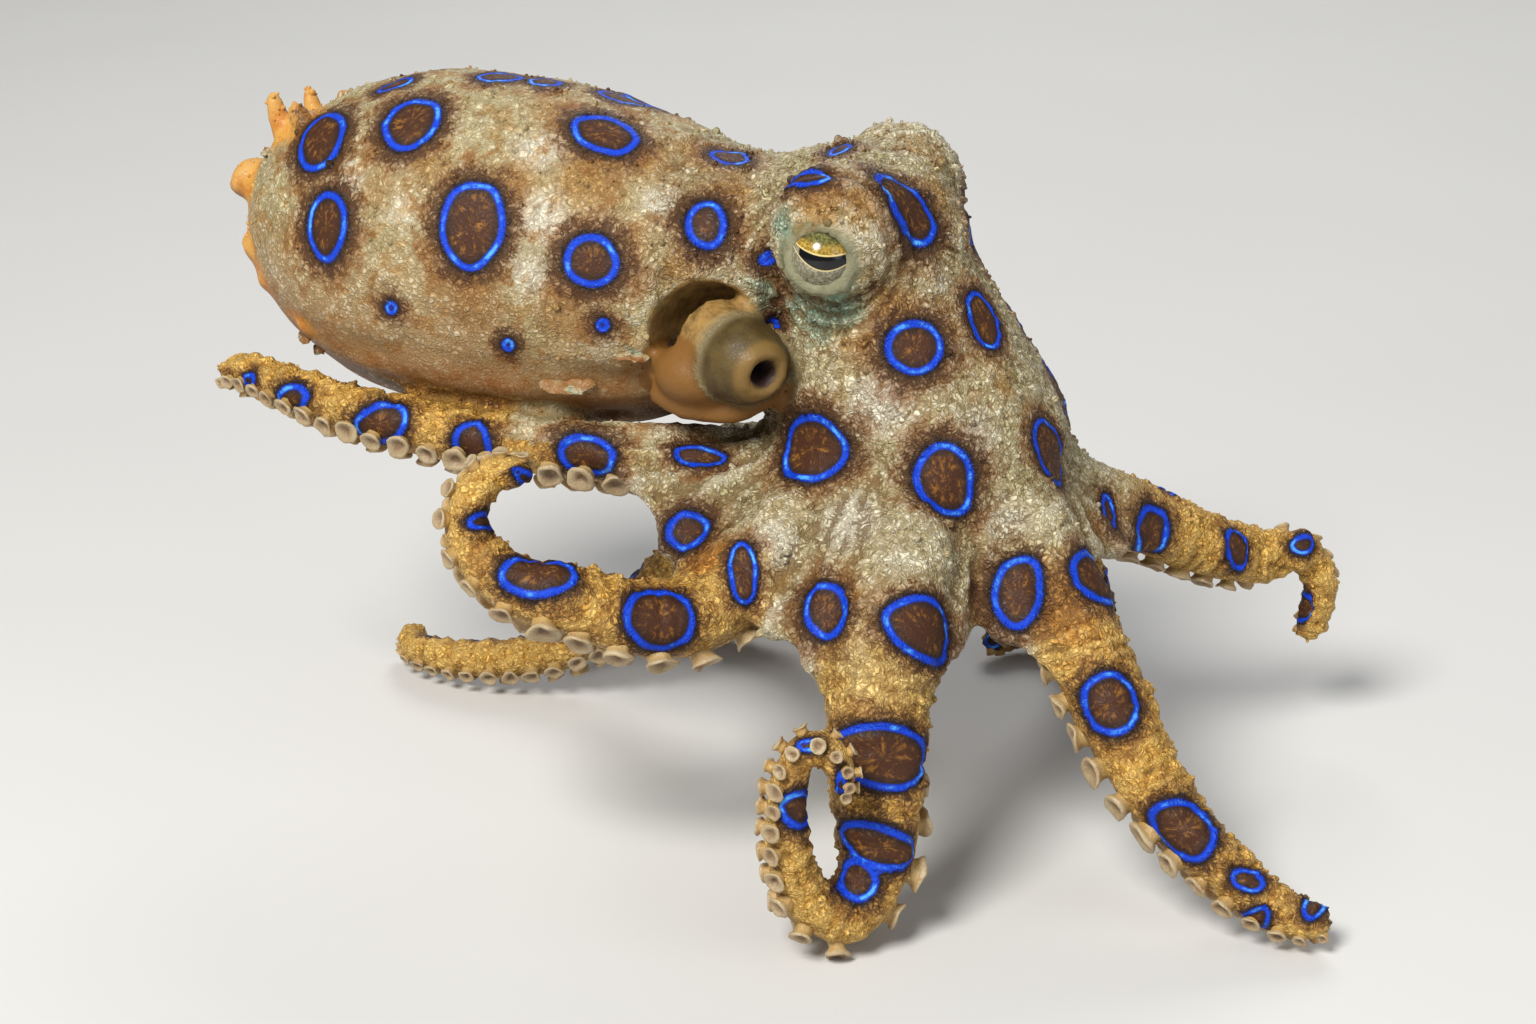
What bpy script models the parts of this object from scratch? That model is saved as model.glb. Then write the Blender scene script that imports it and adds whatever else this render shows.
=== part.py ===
"""Blue ringed octopus on its arms, as a still, life-size model.

Sizes are in millimetres and are made metres when a piece is placed. +Z is up and the floor is z = 0.
The animal faces right (+X) and a little towards -Y. Its arms are numbered from the front pair, 1,
to the pair under the mantle, 4, with r for its right side (-Y) and l for its left.
"""

import math

import bmesh
import bpy
from mathutils import Matrix, Vector

# Driving sizes
MM = 0.001
GAP = 0.3
BOX_CENTRE = Vector((1.0, 11.7, 0.0))
HEADING = Vector((0.934, -0.357, 0.0))
LEFT = Vector((0.357, 0.934, 0.0))
UP = Vector((0.0, 0.0, 1.0))

# Mantle: an egg from its apex to its open front
MANTLE_APEX = Vector((-39.2, 28.0, 40.7))
MANTLE_LENGTH = 36.9
MANTLE_SINK = 0.8
MANTLE_HEIGHT = 12.8
MANTLE_WIDTH = 12.1
MANTLE_WIDEST = 0.55
MANTLE_SHAPE = (2.07, 1.93)
MANTLE_FRONT = 0.8
MANTLE_SIDES = 22
POCKET_CENTRE = Vector((-4.7, 4.6, 37.3))
POCKET_RADII = (4.1, 6.2, 4.3)

# Papillae round the apex: root, bend and tip, and half widths at the root, the neck and the head
PAPILLAE = (
    ((-35.0, 24.0, 46.6), (-36.6, 24.5, 48.6), (-37.2, 24.5, 51.2), 1.8, 1.0, 0.75),
    ((-34.0, 22.6, 48.2), (-34.9, 22.6, 49.4), (-35.2, 22.6, 50.6), 1.2, 0.9, 0.8),
    ((-35.9, 24.9, 44.2), (-38.6, 26.0, 43.7), (-40.4, 26.5, 44.7), 1.8, 1.3, 1.75),
    ((-35.8, 24.4, 42.4), (-37.6, 24.6, 41.9), (-39.2, 24.6, 42.6), 1.7, 1.3, 1.15),
    ((-35.8, 23.2, 40.1), (-38.2, 23.4, 39.6), (-39.5, 23.5, 38.5), 1.7, 1.2, 1.5),
    ((-35.2, 21.8, 38.2), (-37.2, 22.0, 37.4), (-38.5, 22.0, 36.6), 1.4, 1.1, 0.95),
    ((-31.8, 19.4, 36.2), (-34.0, 19.0, 34.9), (-35.1, 19.0, 33.9), 1.9, 1.5, 1.4),
)
PAPILLA_SIDES = 6
FAR_PAPILLA = 0.85

# Head, from the ring that the arms leave to the crown between the eyes
ROOT_LEVEL = 30.0
ROOT_CENTRE = Vector((11.2, 9.8, ROOT_LEVEL))
ROOT_RADIUS = 11.2
HEAD_SIDES = 20
HEAD_LEVELS = (
    (30.0, 11.2, 9.8, 11.2),
    (32.0, 10.6, 9.9, 10.8),
    (34.5, 9.9, 10.0, 10.0),
    (38.4, 8.8, 10.2, 8.6),
    (41.5, 7.9, 10.8, 7.6),
    (45.0, 7.0, 11.4, 7.3),
    (48.0, 6.3, 12.0, 6.0),
    (49.4, 5.8, 12.4, 3.6),
    (50.0, 5.7, 12.5, 1.0),
)
NECK_START = Vector((-4.7, 14.9, 42.0))
NECK_WIDTH = 9.0
NECK_HEIGHT = 7.4
NECK_RINGS = ((0.0, 1.0), (3.0, 0.96), (7.0, 0.82), (10.0, 0.5))
EYE_SPREAD = 6.4
EYE_MOUND = 5.0
EYE_MIDDLE = Vector((7.3, 11.3, 45.3))
EYE_OUT = 3.2
EYE_FORWARD = -0.1
EYE_SINK = 0.9
EYE_LEANS = (0.2, 0.22)
EYE_RADIUS = 2.3
LID_RADIUS = 2.3
LID_THICK = 0.6

# Funnel, from the mantle's front to its mouth
FUNNEL_MIDDLE = Vector((-1.55, 3.3, 36.4))
FUNNEL_WAY = Vector((0.544, -0.832, -0.118)).normalized()
FUNNEL_PROFILE = (
    (-6.2, 3.3), (-2.2, 3.1), (-0.2, 3.03), (0.5, 2.97), (1.3, 2.7), (1.95, 2.2), (2.3, 1.93), (2.72, 1.75),
)
BORE_PROFILE = ((-1.6, 0.7), (1.3, 0.86), (2.1, 0.98), (2.5, 1.16), (3.2, 1.7))
FUNNEL_SIDES = 14
COLLAR_CENTRE = Vector((-4.9, 5.6, 34.9))
COLLAR_RADII = (3.3, 3.0, 2.3)
HEM = ((-6.0, 5.4, 32.3), (-3.6, 4.7, 32.1), (-1.2, 4.7, 32.8), (0.6, 5.2, 33.5))
HEM_RADIUS = 0.85

# Mouth
MOUTH_RADIUS = 3.0
LIP_DROP = 1.6

# Arms: turn of the root round the ring in degrees, route beyond the root, half widths at even steps
# from the web's end to the tip, twist of the sucker side in degrees between two shares of the
# length, shares at which the free arm is cut, and how far the web runs down it on either side.
ROOT_REACH = 8.3
ROOT_HALF = 2.65
ROOT_DEPTH = 5.0
ROOT_DIP = 0.8
WEB_THICK = 1.3
ROOT_BULGE = 0.1
EDGE_BULGE = 0.05
ARM_SIDES = 10
ARM_FLATNESS = 0.84
ARMS = {
    "r1": {
        "turn": -43.5,
        "route": ((19.6, -0.8, 24.0), (22.0, -4.0, 18.6), (24.0, -6.7, 14.5), (26.3, -9.3, 10.5),
                  (29.6, -11.9, 6.6), (33.8, -14.1, 3.4), (38.5, -15.9, 1.9)),
        "widths": (3.3, 2.8, 2.2, 1.5), "twist": (0.3, 0.8, -18), "cuts": (0.66,),
        "webs": {"r2": (20.0, 90), "l1": (16.5, 90)},
    },
    "r2": {
        "turn": -88.5,
        "route": ((9.9, -3.6, 25.6), (8.3, -8.2, 21.0), (7.5, -11.4, 15.4), (7.4, -13.1, 9.6),
                  (7.3, -14.0, 5.9), (5.4, -15.2, 2.8), (2.6, -16.4, 4.5), (1.5, -17.0, 8.2),
                  (1.3, -17.4, 11.6), (1.6, -17.7, 14.9), (3.1, -18.0, 16.5), (4.8, -18.2, 15.2),
                  (4.9, -18.2, 12.8)),
        "widths": (3.6, 2.6, 1.75, 1.0), "twist": (0.33, 0.6, 60), "cuts": (0.53, 0.73),
        "webs": {"r3": (21.0, 90), "r1": (19.0, 90)},
    },
    "r3": {
        "turn": -133.5,
        "route": ((0.8, -0.6, 25.0), (-4.4, -4.6, 21.0), (-9.0, -7.0, 21.2), (-13.6, -8.0, 23.0),
                  (-17.6, -7.8, 24.2), (-20.4, -6.6, 26.9), (-20.3, -5.4, 29.4), (-18.6, -4.8, 30.9),
                  (-16.0, -4.6, 31.0)),
        "widths": (3.3, 2.9, 2.0, 1.3), "twist": (0.15, 0.6, 20), "cuts": (0.62,),
        "webs": {"r2": (15.0, 100), "r4": (18.0, 90)},
    },
    "r4": {
        "turn": 181.5,
        "route": ((-1.0, 9.0, 27.2), (-7.6, 8.6, 27.5), (-13.8, 9.4, 27.9), (-21.2, 11.3, 28.1),
                  (-28.1, 13.6, 28.7), (-34.4, 17.0, 29.6), (-39.2, 20.6, 30.3), (-41.5, 22.8, 29.2)),
        "widths": (2.7, 2.5, 2.1, 1.5), "twist": (0.1, 0.5, 20), "cuts": (0.62,),
        "webs": {"r3": (18.0, 90), "l4": (15.0, 90)},
    },
    "l4": {
        "turn": 136.5,
        "route": ((2.4, 18.2, 24.8), (-2.0, 22.4, 18.8), (-6.8, 25.8, 12.6), (-12.0, 28.0, 6.9),
                  (-17.8, 29.2, 3.7), (-23.8, 30.2, 2.7), (-28.6, 33.0, 2.4), (-30.0, 37.8, 2.1)),
        "widths": (2.9, 2.5, 1.9, 1.2), "twist": (0.1, 0.5, 0), "cuts": (0.62,),
        "webs": {"r4": (15.0, 90), "l3": (17.0, 90)},
    },
    "l3": {
        "turn": 91.5,
        "route": ((10.6, 20.2, 24.6), (9.6, 25.8, 18.6), (7.4, 31.6, 12.2), (4.0, 36.6, 6.6),
                  (-1.0, 40.2, 3.7), (-7.2, 41.8, 2.7), (-12.8, 40.2, 2.4), (-16.2, 36.2, 2.1)),
        "widths": (2.9, 2.5, 1.9, 1.2), "twist": (0.1, 0.5, 0), "cuts": (0.62,),
        "webs": {"l4": (17.0, 90), "l2": (17.0, 90)},
    },
    "l2": {
        "turn": 46.5,
        "route": ((18.6, 17.4, 24.6), (21.4, 21.6, 18.8), (23.8, 25.8, 12.8), (25.8, 29.8, 7.2),
                  (26.4, 34.0, 3.8), (24.6, 37.6, 2.6), (20.8, 38.0, 2.2), (18.2, 35.2, 1.9)),
        "widths": (2.9, 2.5, 1.9, 1.2), "twist": (0.1, 0.5, 0), "cuts": (0.62,),
        "webs": {"l3": (17.0, 90), "l1": (15.0, 90)},
    },
    "l1": {
        "turn": 1.5,
        "route": ((21.4, 11.0, 25.4), (25.0, 12.8, 22.6), (29.4, 15.0, 20.0), (34.6, 17.6, 17.1),
                  (38.4, 19.4, 15.7), (41.2, 20.2, 15.7), (42.9, 20.8, 13.5), (43.0, 21.4, 10.4),
                  (42.0, 22.0, 7.6)),
        "widths": (3.0, 2.5, 1.5, 1.2), "twist": (0.58, 0.8, 90), "cuts": (0.62,),
        "webs": {"l2": (15.0, 90), "r1": (16.0, 90)},
    },
}
ORDER = ("r1", "r2", "r3", "r4", "l4", "l3", "l2", "l1")

# Webs: how far down each arm the middle of the web's edge is, and where that middle is if it's known
WEBS = {
    ("r1", "r2"): (12.5, 13.0, (14.8, -4.2, 19.3)),
    ("r2", "r3"): (13.5, 10.5, (-0.6, -6.4, 20.2)),
    ("r3", "r4"): (13.0, 12.0, (-8.0, 2.4, 24.6)),
    ("r4", "l4"): (10.0, 10.0, None),
    ("l4", "l3"): (11.0, 11.0, None),
    ("l3", "l2"): (11.0, 11.0, None),
    ("l2", "l1"): (10.0, 10.0, None),
    ("l1", "r1"): (11.0, 11.5, (22.0, 3.0, 21.6)),
}

# Suckers: two staggered rows along the side that faces the mouth
SUCKER_START = 8.5
SUCKER_SHARE = 0.46
SUCKER_MOST = 1.15
SUCKER_LEAST = 0.62
SUCKER_PITCH = 1.28
SUCKER_SPLAY = 33.0
SUCKER_STAND = 1.25
SUCKER_SIDES = 6


def material(name, colour, roughness):
    """A plain Principled material."""
    made = bpy.data.materials.new(name)
    made.use_nodes = True
    shader = made.node_tree.nodes["Principled BSDF"]
    shader.inputs["Base Color"].default_value = (*colour, 1.0)
    shader.inputs["Roughness"].default_value = roughness
    shader.inputs["Metallic"].default_value = 0.0
    return made


def smoothstep(value, low, high):
    share = min(1.0, max(0.0, (value - low) / (high - low)))
    return share * share * (3 - 2 * share)


def loft(sections):
    """A closed solid through rings of points, made by extruding a cap from one ring to the next."""
    mesh = bmesh.new()
    cap = mesh.faces.new([mesh.verts.new(point) for point in sections[0]])
    for step, (before, after) in enumerate(zip(sections, sections[1:])):
        place_in_ring = {Vector(point).to_tuple(4): i for i, point in enumerate(before)}
        made = bmesh.ops.extrude_face_region(mesh, geom=[cap])["geom"]
        if step > 0:
            bmesh.ops.delete(mesh, geom=[cap], context="FACES_ONLY")
        cap = next(item for item in made if isinstance(item, bmesh.types.BMFace))
        for corner in cap.verts:
            corner.co = after[place_in_ring[corner.co.to_tuple(4)]]
    bmesh.ops.recalc_face_normals(mesh, faces=mesh.faces)
    return mesh


def ball(centre, radii, sides=14, rings=9):
    """An ellipsoid whose axes follow HEADING, LEFT and UP."""
    mesh = bmesh.new()
    bmesh.ops.create_uvsphere(mesh, u_segments=sides, v_segments=rings, radius=1.0)
    turn = Matrix((HEADING, LEFT, UP)).transposed().to_4x4()
    mesh.transform(Matrix.Translation(centre) @ turn @ Matrix.Diagonal((*radii, 1.0)))
    return mesh


def object_from(mesh, name):
    """Places a bmesh in millimetres as an object in metres."""
    mesh.transform(Matrix.Scale(MM, 4) @ Matrix.Translation(-BOX_CENTRE))
    data = bpy.data.meshes.new(name)
    mesh.to_mesh(data)
    mesh.free()
    made = bpy.data.objects.new(name, data)
    bpy.context.scene.collection.objects.link(made)
    return made


def join(made, others, operation="UNION"):
    """Joins closed pieces to an object, or cuts them from it, with one Boolean that leaves it closed."""
    group = bpy.data.collections.new(made.name + "_pieces")
    bpy.context.scene.collection.children.link(group)
    for other in others:
        bpy.context.scene.collection.objects.unlink(other)
        group.objects.link(other)
    boolean = made.modifiers.new("join", "BOOLEAN")
    boolean.operation = operation
    boolean.operand_type = "COLLECTION"
    boolean.collection = group
    for solver in ("EXACT", "MANIFOLD"):
        boolean.solver = solver
        graph = bpy.context.evaluated_depsgraph_get()
        data = bpy.data.meshes.new_from_object(made.evaluated_get(graph))
        if closed(data):
            break
    made.modifiers.clear()
    made.data = data
    for other in list(group.objects):
        bpy.data.objects.remove(other)
    bpy.data.collections.remove(group)


def closed(data):
    """Whether every edge of a mesh is shared by two faces."""
    mesh = bmesh.new()
    mesh.from_mesh(data)
    bmesh.ops.remove_doubles(mesh, verts=mesh.verts, dist=1e-6)
    whole = all(edge.is_manifold for edge in mesh.edges)
    mesh.free()
    return whole


def keep_largest(made):
    """Keeps only the largest closed surface of an object."""
    mesh = bmesh.new()
    mesh.from_mesh(made.data)
    unseen = set(mesh.verts)
    shells = []
    while unseen:
        shell = set()
        to_search = [unseen.pop()]
        while to_search:
            corner = to_search.pop()
            shell.add(corner)
            for edge in corner.link_edges:
                other = edge.other_vert(corner)
                if other in unseen:
                    unseen.discard(other)
                    to_search.append(other)
        shells.append(shell)
    shells.sort(key=len)
    loose = [corner for shell in shells[:-1] for corner in shell]
    bmesh.ops.delete(mesh, geom=loose, context="VERTS")
    mesh.to_mesh(made.data)
    mesh.free()


def cut_at_floor(made):
    """Cuts off what would be below the floor, which leaves small flats at its level."""
    if min(corner.co.z for corner in made.data.vertices) >= 0:
        return
    mesh = bmesh.new()
    bmesh.ops.create_cube(mesh, size=1.0)
    mesh.transform(Matrix.Translation(BOX_CENTRE - UP * 10) @ Matrix.Diagonal((200, 200, 20, 1)))
    join(made, [object_from(mesh, "floor_cutter")], "DIFFERENCE")


def finish(made, look):
    made.data.materials.clear()
    made.data.materials.append(look)
    made.data.shade_smooth()
    made.data.set_sharp_from_angle(angle=math.radians(50))


def ring_points(centre, across, upward, half_across, half_up, sides):
    points = []
    for i in range(sides):
        angle = 2 * math.pi * i / sides
        points.append(centre + across * half_across * math.cos(angle) + upward * half_up * math.sin(angle))
    return points


# Mantle
def mantle_swell(share):
    """Radius as a share of the greatest, from the apex (0) to the open front (1)."""
    if share < MANTLE_WIDEST:
        toward_apex = 1 - share / MANTLE_WIDEST
        return (1 - toward_apex ** MANTLE_SHAPE[0]) ** (1 / MANTLE_SHAPE[1])
    toward_front = (share - MANTLE_WIDEST) / (1 - MANTLE_WIDEST)
    return 1 - (1 - MANTLE_FRONT) * toward_front**2


def mantle_axis(share):
    return MANTLE_APEX + (HEADING * MANTLE_LENGTH - UP * MANTLE_SINK) * share


def papilla_pair(facts):
    """A fleshy tag on a narrow neck, and a smaller one opposite it on the mantle's left side."""
    root, bend, tip, *widths = facts
    route = [Vector(root), Vector(bend), Vector(tip)]
    across = [point - LEFT * 2 * (point - MANTLE_APEX).dot(LEFT) for point in route]
    opposite = [across[0].lerp(point, FAR_PAPILLA) for point in across]
    return [papilla(route, widths), papilla(opposite, [width * FAR_PAPILLA for width in widths])]


def papilla(route, widths):
    at_root, at_neck, at_head = widths
    line = smooth_route(route, 4)
    steps = ((0, at_root), (2, (at_root + at_neck) / 2), (4, at_neck), (6, at_head), (8, at_head * 0.45))
    sections = []
    for i, width in steps:
        along = (line[min(i + 1, 8)] - line[max(i - 1, 0)]).normalized()
        across = along.cross(UP).normalized()
        sections.append(ring_points(line[i], across, across.cross(along), width, width, PAPILLA_SIDES))
    return loft(sections)


def make_mantle(look):
    shares = (0.001, 0.012, 0.045, 0.1, 0.18, 0.3, 0.44, 0.6, 0.76, 0.9, 1.0)
    sections = []
    for share in shares:
        swell = mantle_swell(share)
        sections.append(ring_points(mantle_axis(share), LEFT, UP, MANTLE_WIDTH * swell,
                                    MANTLE_HEIGHT * swell, MANTLE_SIDES))
    made = object_from(loft(sections), "mantle")
    join(made, [object_from(mesh, "papilla") for facts in PAPILLAE for mesh in papilla_pair(facts)])
    join(made, [object_from(ball(POCKET_CENTRE, POCKET_RADII, 16, 9), "pocket")], "DIFFERENCE")
    keep_largest(made)
    finish(made, look)


# Head
def neck(grow=0.0):
    """The neck, from just ahead of the mantle's front into the head."""
    sections = []
    for reach, swell in NECK_RINGS:
        sections.append(ring_points(NECK_START + HEADING * (reach + GAP - grow), LEFT, UP,
                                    NECK_WIDTH * swell + grow, NECK_HEIGHT * swell + grow, HEAD_SIDES))
    return loft(sections)


def head_body(grow=0.0):
    sections = [ring_points(Vector((x, y, level)), Vector((1, 0, 0)), Vector((0, 1, 0)), radius + grow,
                            radius + grow, HEAD_SIDES) for level, x, y, radius in HEAD_LEVELS]
    return loft(sections)


def make_head(look):
    made = object_from(head_body(), "head")
    pieces = [object_from(neck(), "neck")]
    for side in (-1, 1):
        mound = EYE_MIDDLE + LEFT * side * EYE_SPREAD
        pieces.append(object_from(ball(mound, (EYE_MOUND,) * 3), "mound"))
        pieces.append(object_from(lid(side), "lid"))
    join(made, pieces)
    sockets = [object_from(ball(eye_centre(side), (EYE_RADIUS + GAP,) * 3), "socket") for side in (-1, 1)]
    join(made, sockets, "DIFFERENCE")
    keep_largest(made)
    finish(made, look)


def eye_centre(side):
    return EYE_MIDDLE + LEFT * side * (EYE_SPREAD + EYE_OUT) + HEADING * EYE_FORWARD - UP * EYE_SINK


def eye_frame(side):
    """Three directions of an eye: forward, up and out. It looks a little ahead and a little up."""
    out = (LEFT * side + HEADING * EYE_LEANS[0] + UP * EYE_LEANS[1]).normalized()
    forward = (HEADING - out * HEADING.dot(out)).normalized()
    upward = out.cross(forward) * -side
    return forward, upward, out


def lid(side):
    """A raised rim round the eye."""
    forward, upward, out = eye_frame(side)
    centre = eye_centre(side) + out * 0.7
    rim = []
    for i in range(4):
        angle = 2 * math.pi * i / 4
        rim.append((LID_RADIUS + LID_THICK * math.cos(angle), LID_THICK * math.sin(angle)))
    mesh = bmesh.new()
    turns = 14
    loops = []
    for i in range(turns):
        angle = 2 * math.pi * i / turns
        outward = forward * math.cos(angle) + upward * math.sin(angle)
        loops.append([mesh.verts.new(centre + outward * reach + out * rise) for reach, rise in rim])
    for i in range(turns):
        here = loops[i]
        there = loops[(i + 1) % turns]
        for j in range(4):
            k = (j + 1) % 4
            mesh.faces.new((here[j], here[k], there[k], there[j]))
    bmesh.ops.recalc_face_normals(mesh, faces=mesh.faces)
    return mesh


def make_eye(side, name, look):
    made = object_from(ball(eye_centre(side), (EYE_RADIUS,) * 3, 14, 10), name)
    finish(made, look)


# Funnel
def funnel_rings(profile):
    """Rings of points round the funnel's axis, one for each reach and radius."""
    across = FUNNEL_WAY.cross(UP).normalized()
    upward = across.cross(FUNNEL_WAY)
    return [ring_points(FUNNEL_MIDDLE + FUNNEL_WAY * reach, across, upward, radius, radius, FUNNEL_SIDES)
            for reach, radius in profile]


def hem():
    """The loose lower edge of the mantle, which passes under the funnel to the head."""
    line = smooth_route([Vector(point) for point in HEM], 2)
    last = len(line) - 1
    sections = []
    for i, point in enumerate(line):
        along = (line[min(i + 1, last)] - line[max(i - 1, 0)]).normalized()
        across = along.cross(UP).normalized()
        above = across.cross(along)
        sections.append(ring_points(point, across, above, HEM_RADIUS, HEM_RADIUS, PAPILLA_SIDES))
    return loft(sections)


def make_funnel(look):
    """The pipe with the fleshy collar and hem it lies in, cut clear of the mantle and of the head."""
    made = object_from(loft(funnel_rings(FUNNEL_PROFILE)), "funnel")
    join(made, [object_from(ball(COLLAR_CENTRE, COLLAR_RADII), "collar"), object_from(hem(), "hem")])
    block = bmesh.new()
    bmesh.ops.create_cube(block, size=1.0)
    turn = Matrix((HEADING, LEFT, UP)).transposed().to_4x4()
    middle = mantle_axis(1.0) - HEADING * (10 - GAP)
    block.transform(Matrix.Translation(middle) @ turn @ Matrix.Diagonal((20, 60, 60, 1)))
    cutters = {"bore": loft(funnel_rings(BORE_PROFILE)), "mantle_space": block,
               "neck_space": neck(GAP), "head_space": head_body(GAP)}
    join(made, [object_from(mesh, name) for name, mesh in cutters.items()], "DIFFERENCE")
    keep_largest(made)
    finish(made, look)


# Arms
def smooth_route(points, steps=14):
    """Points along a Catmull-Rom curve through the given ones."""
    ends = [points[0] * 2 - points[1], *points, points[-1] * 2 - points[-2]]
    route = []
    for p0, p1, p2, p3 in zip(ends, ends[1:], ends[2:], ends[3:]):
        for i in range(steps):
            t = i / steps
            route.append(0.5 * (2 * p1 + (p2 - p0) * t + (2 * p0 - 5 * p1 + 4 * p2 - p3) * t * t
                                + (3 * p1 - p0 - 3 * p2 + p3) * t**3))
    route.append(points[-1].copy())
    return route


def radial(turn):
    return Vector((math.cos(math.radians(turn)), math.sin(math.radians(turn)), 0.0))


class Arm:
    """An arm's centreline, with the direction of its suckers carried along it."""

    def __init__(self, name):
        facts = ARMS[name]
        self.name = name
        self.turn = facts["turn"]
        self.widths = facts["widths"]
        self.webs = facts["webs"]
        self.base = max(end for end, _ in self.webs.values())
        root = ROOT_CENTRE + radial(self.turn) * ROOT_REACH - UP * GAP
        route = [Vector(point) for point in facts["route"]]
        below = root.lerp(route[0], 0.4) - UP * ROOT_DIP
        self.points = smooth_route([root, below, *route])
        self.at = [0.0]
        for a, b in zip(self.points, self.points[1:]):
            self.at.append(self.at[-1] + (b - a).length)
        self.length = self.at[-1]
        self.cuts = [share * self.length for share in facts["cuts"]]
        self.carry(facts["twist"])

    def carry(self, twist):
        start, end, degrees = twist
        self.tangents = []
        for i in range(len(self.points)):
            a = self.points[max(0, i - 1)]
            b = self.points[min(len(self.points) - 1, i + 1)]
            self.tangents.append((b - a).normalized())
        self.tangents[0] = -UP
        oral = -radial(self.turn)
        self.orals = []
        for i, tangent in enumerate(self.tangents):
            oral = (oral - tangent * oral.dot(tangent)).normalized()
            angle = math.radians(degrees) * smoothstep(self.at[i] / self.length, start, end)
            self.orals.append(Matrix.Rotation(angle, 3, tangent) @ oral)

    def frame(self, distance):
        """Centre, tangent, sucker direction and sideways direction at a distance from the root."""
        distance = min(max(distance, 0.0), self.length)
        i = next((n for n in range(len(self.at) - 1) if self.at[n + 1] >= distance), len(self.at) - 2)
        share = (distance - self.at[i]) / (self.at[i + 1] - self.at[i])
        centre = self.points[i].lerp(self.points[i + 1], share)
        tangent = self.tangents[i].lerp(self.tangents[i + 1], share).normalized()
        oral = self.orals[i].lerp(self.orals[i + 1], share)
        oral = (oral - tangent * oral.dot(tangent)).normalized()
        return centre, tangent, oral, tangent.cross(oral)

    def half_width(self, distance):
        if distance < self.base:
            return ROOT_HALF + (self.widths[0] - ROOT_HALF) * smoothstep(distance, 0.0, 12.0)
        place = 3 * min(1.0, (distance - self.base) / (self.length - self.base))
        i = min(2, int(place))
        width = self.widths[i] + (self.widths[i + 1] - self.widths[i]) * (place - i)
        left = self.length - distance
        rounding = self.widths[3] * 1.3
        if left < rounding:
            width *= math.sqrt(max(0.03, 1 - (1 - left / rounding) ** 2))
        return width

    def point(self, distance, degrees, scale=1.0):
        """A point of the skin, turned in degrees from the back of the arm."""
        centre, _, oral, side = self.frame(distance)
        width = self.half_width(distance) * scale
        angle = math.radians(degrees)
        return centre + side * width * math.sin(angle) - oral * width * ARM_FLATNESS * math.cos(angle)

    def side_of(self, other):
        """Whether a neighbour is on the +side (1) or the -side (-1)."""
        centre, _, _, side = self.frame(0)
        return 1 if (other.frame(0)[0] - centre).dot(side) > 0 else -1


def web_facts(arm, other):
    """How far down each of the two arms the middle of their web's edge is, and where it is if known."""
    if (arm.name, other.name) in WEBS:
        return WEBS[arm.name, other.name]
    there, here, middle = WEBS[other.name, arm.name]
    return here, there, middle


def inward(arm, other, here, there):
    """Direction from the outside of the web to its inside, at a distance down each of its two arms."""
    across = (arm.point(here, 0) - other.point(there, 0)).normalized()
    both = arm.frame(here)[2] + other.frame(there)[2]
    return (both - across * both.dot(across)).normalized()


def web_line(arm, other, share):
    """Outer and inner line of the middle of a web: from the root ring (0) to the web's edge (1)."""
    here, there, known = web_facts(arm, other)
    a = arm.point(share * here, 0)
    b = other.point(share * there, 0)
    inside = inward(arm, other, share * here, share * there)
    bulge = ROOT_BULGE + (EDGE_BULGE - ROOT_BULGE) * share
    outer = (a + b) / 2 - inside * bulge * (a - b).length
    if known:
        edge = (arm.point(here, 0) + other.point(there, 0)) / 2
        outer = outer + (Vector(known) - edge) * smoothstep(share, 0.0, 1.0)
    outer = outer + clearance(arm, other)
    return outer, outer + inside * WEB_THICK


def clearance(arm, other):
    """Half of the gap between an arm's web and its neighbour's."""
    return (arm.frame(0)[0] - other.frame(0)[0]).normalized() * GAP / 2


def half_web(arm, other):
    """The half of a web that belongs to an arm: from inside the arm out to the middle of the web."""
    side = arm.side_of(other)
    middle_at = web_facts(arm, other)[0]
    end_at, attach = arm.webs[other.name]
    bend_at = middle_at + (end_at - middle_at) * 0.45
    bearing = (radial(arm.turn) + radial(other.turn)).normalized()
    inside = (radial(arm.turn) * 3 + radial(other.turn)).normalized()
    top = ROOT_CENTRE - UP * (GAP + 0.1)
    sections = [[top + inside * 10.2, top + bearing * 10.8 + clearance(arm, other),
                 top + bearing * 9.0 + clearance(arm, other), top + inside * 6.6]]
    stations = [middle_at * share for share in (0.25, 0.45, 0.65, 0.85, 1.0)]
    stations += [middle_at + (end_at - middle_at) * share for share in (0.25, 0.5, 0.75, 1.0)]
    for distance in stations:
        if distance <= middle_at:
            outer, inner = web_line(arm, other, distance / middle_at)
        else:
            q = (distance - middle_at) / (end_at - middle_at)
            outer, inner = web_line(arm, other, 1.0)
            outer = (outer * (1 - q) ** 2 + arm.point(bend_at, (attach - 6) * side) * 2 * q * (1 - q)
                     + arm.point(end_at, (attach - 10) * side, 0.96) * q * q)
            inner = (inner * (1 - q) ** 2 + arm.point(bend_at, (attach + 16) * side) * 2 * q * (1 - q)
                     + arm.point(end_at, (attach + 10) * side, 0.96) * q * q)
        sections.append([under_head(corner) for corner in (
            arm.point(distance, (attach - 42) * side, 0.8), outer, inner,
            arm.point(distance, (attach + 42) * side, 0.8))])
    mesh = loft(sections)
    bmesh.ops.triangulate(mesh, faces=mesh.faces, quad_method="SHORT_EDGE")
    return mesh


def under_head(corner):
    """Keeps a corner below the head."""
    return Vector((corner.x, corner.y, min(corner.z, ROOT_LEVEL - GAP - 0.1)))


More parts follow.
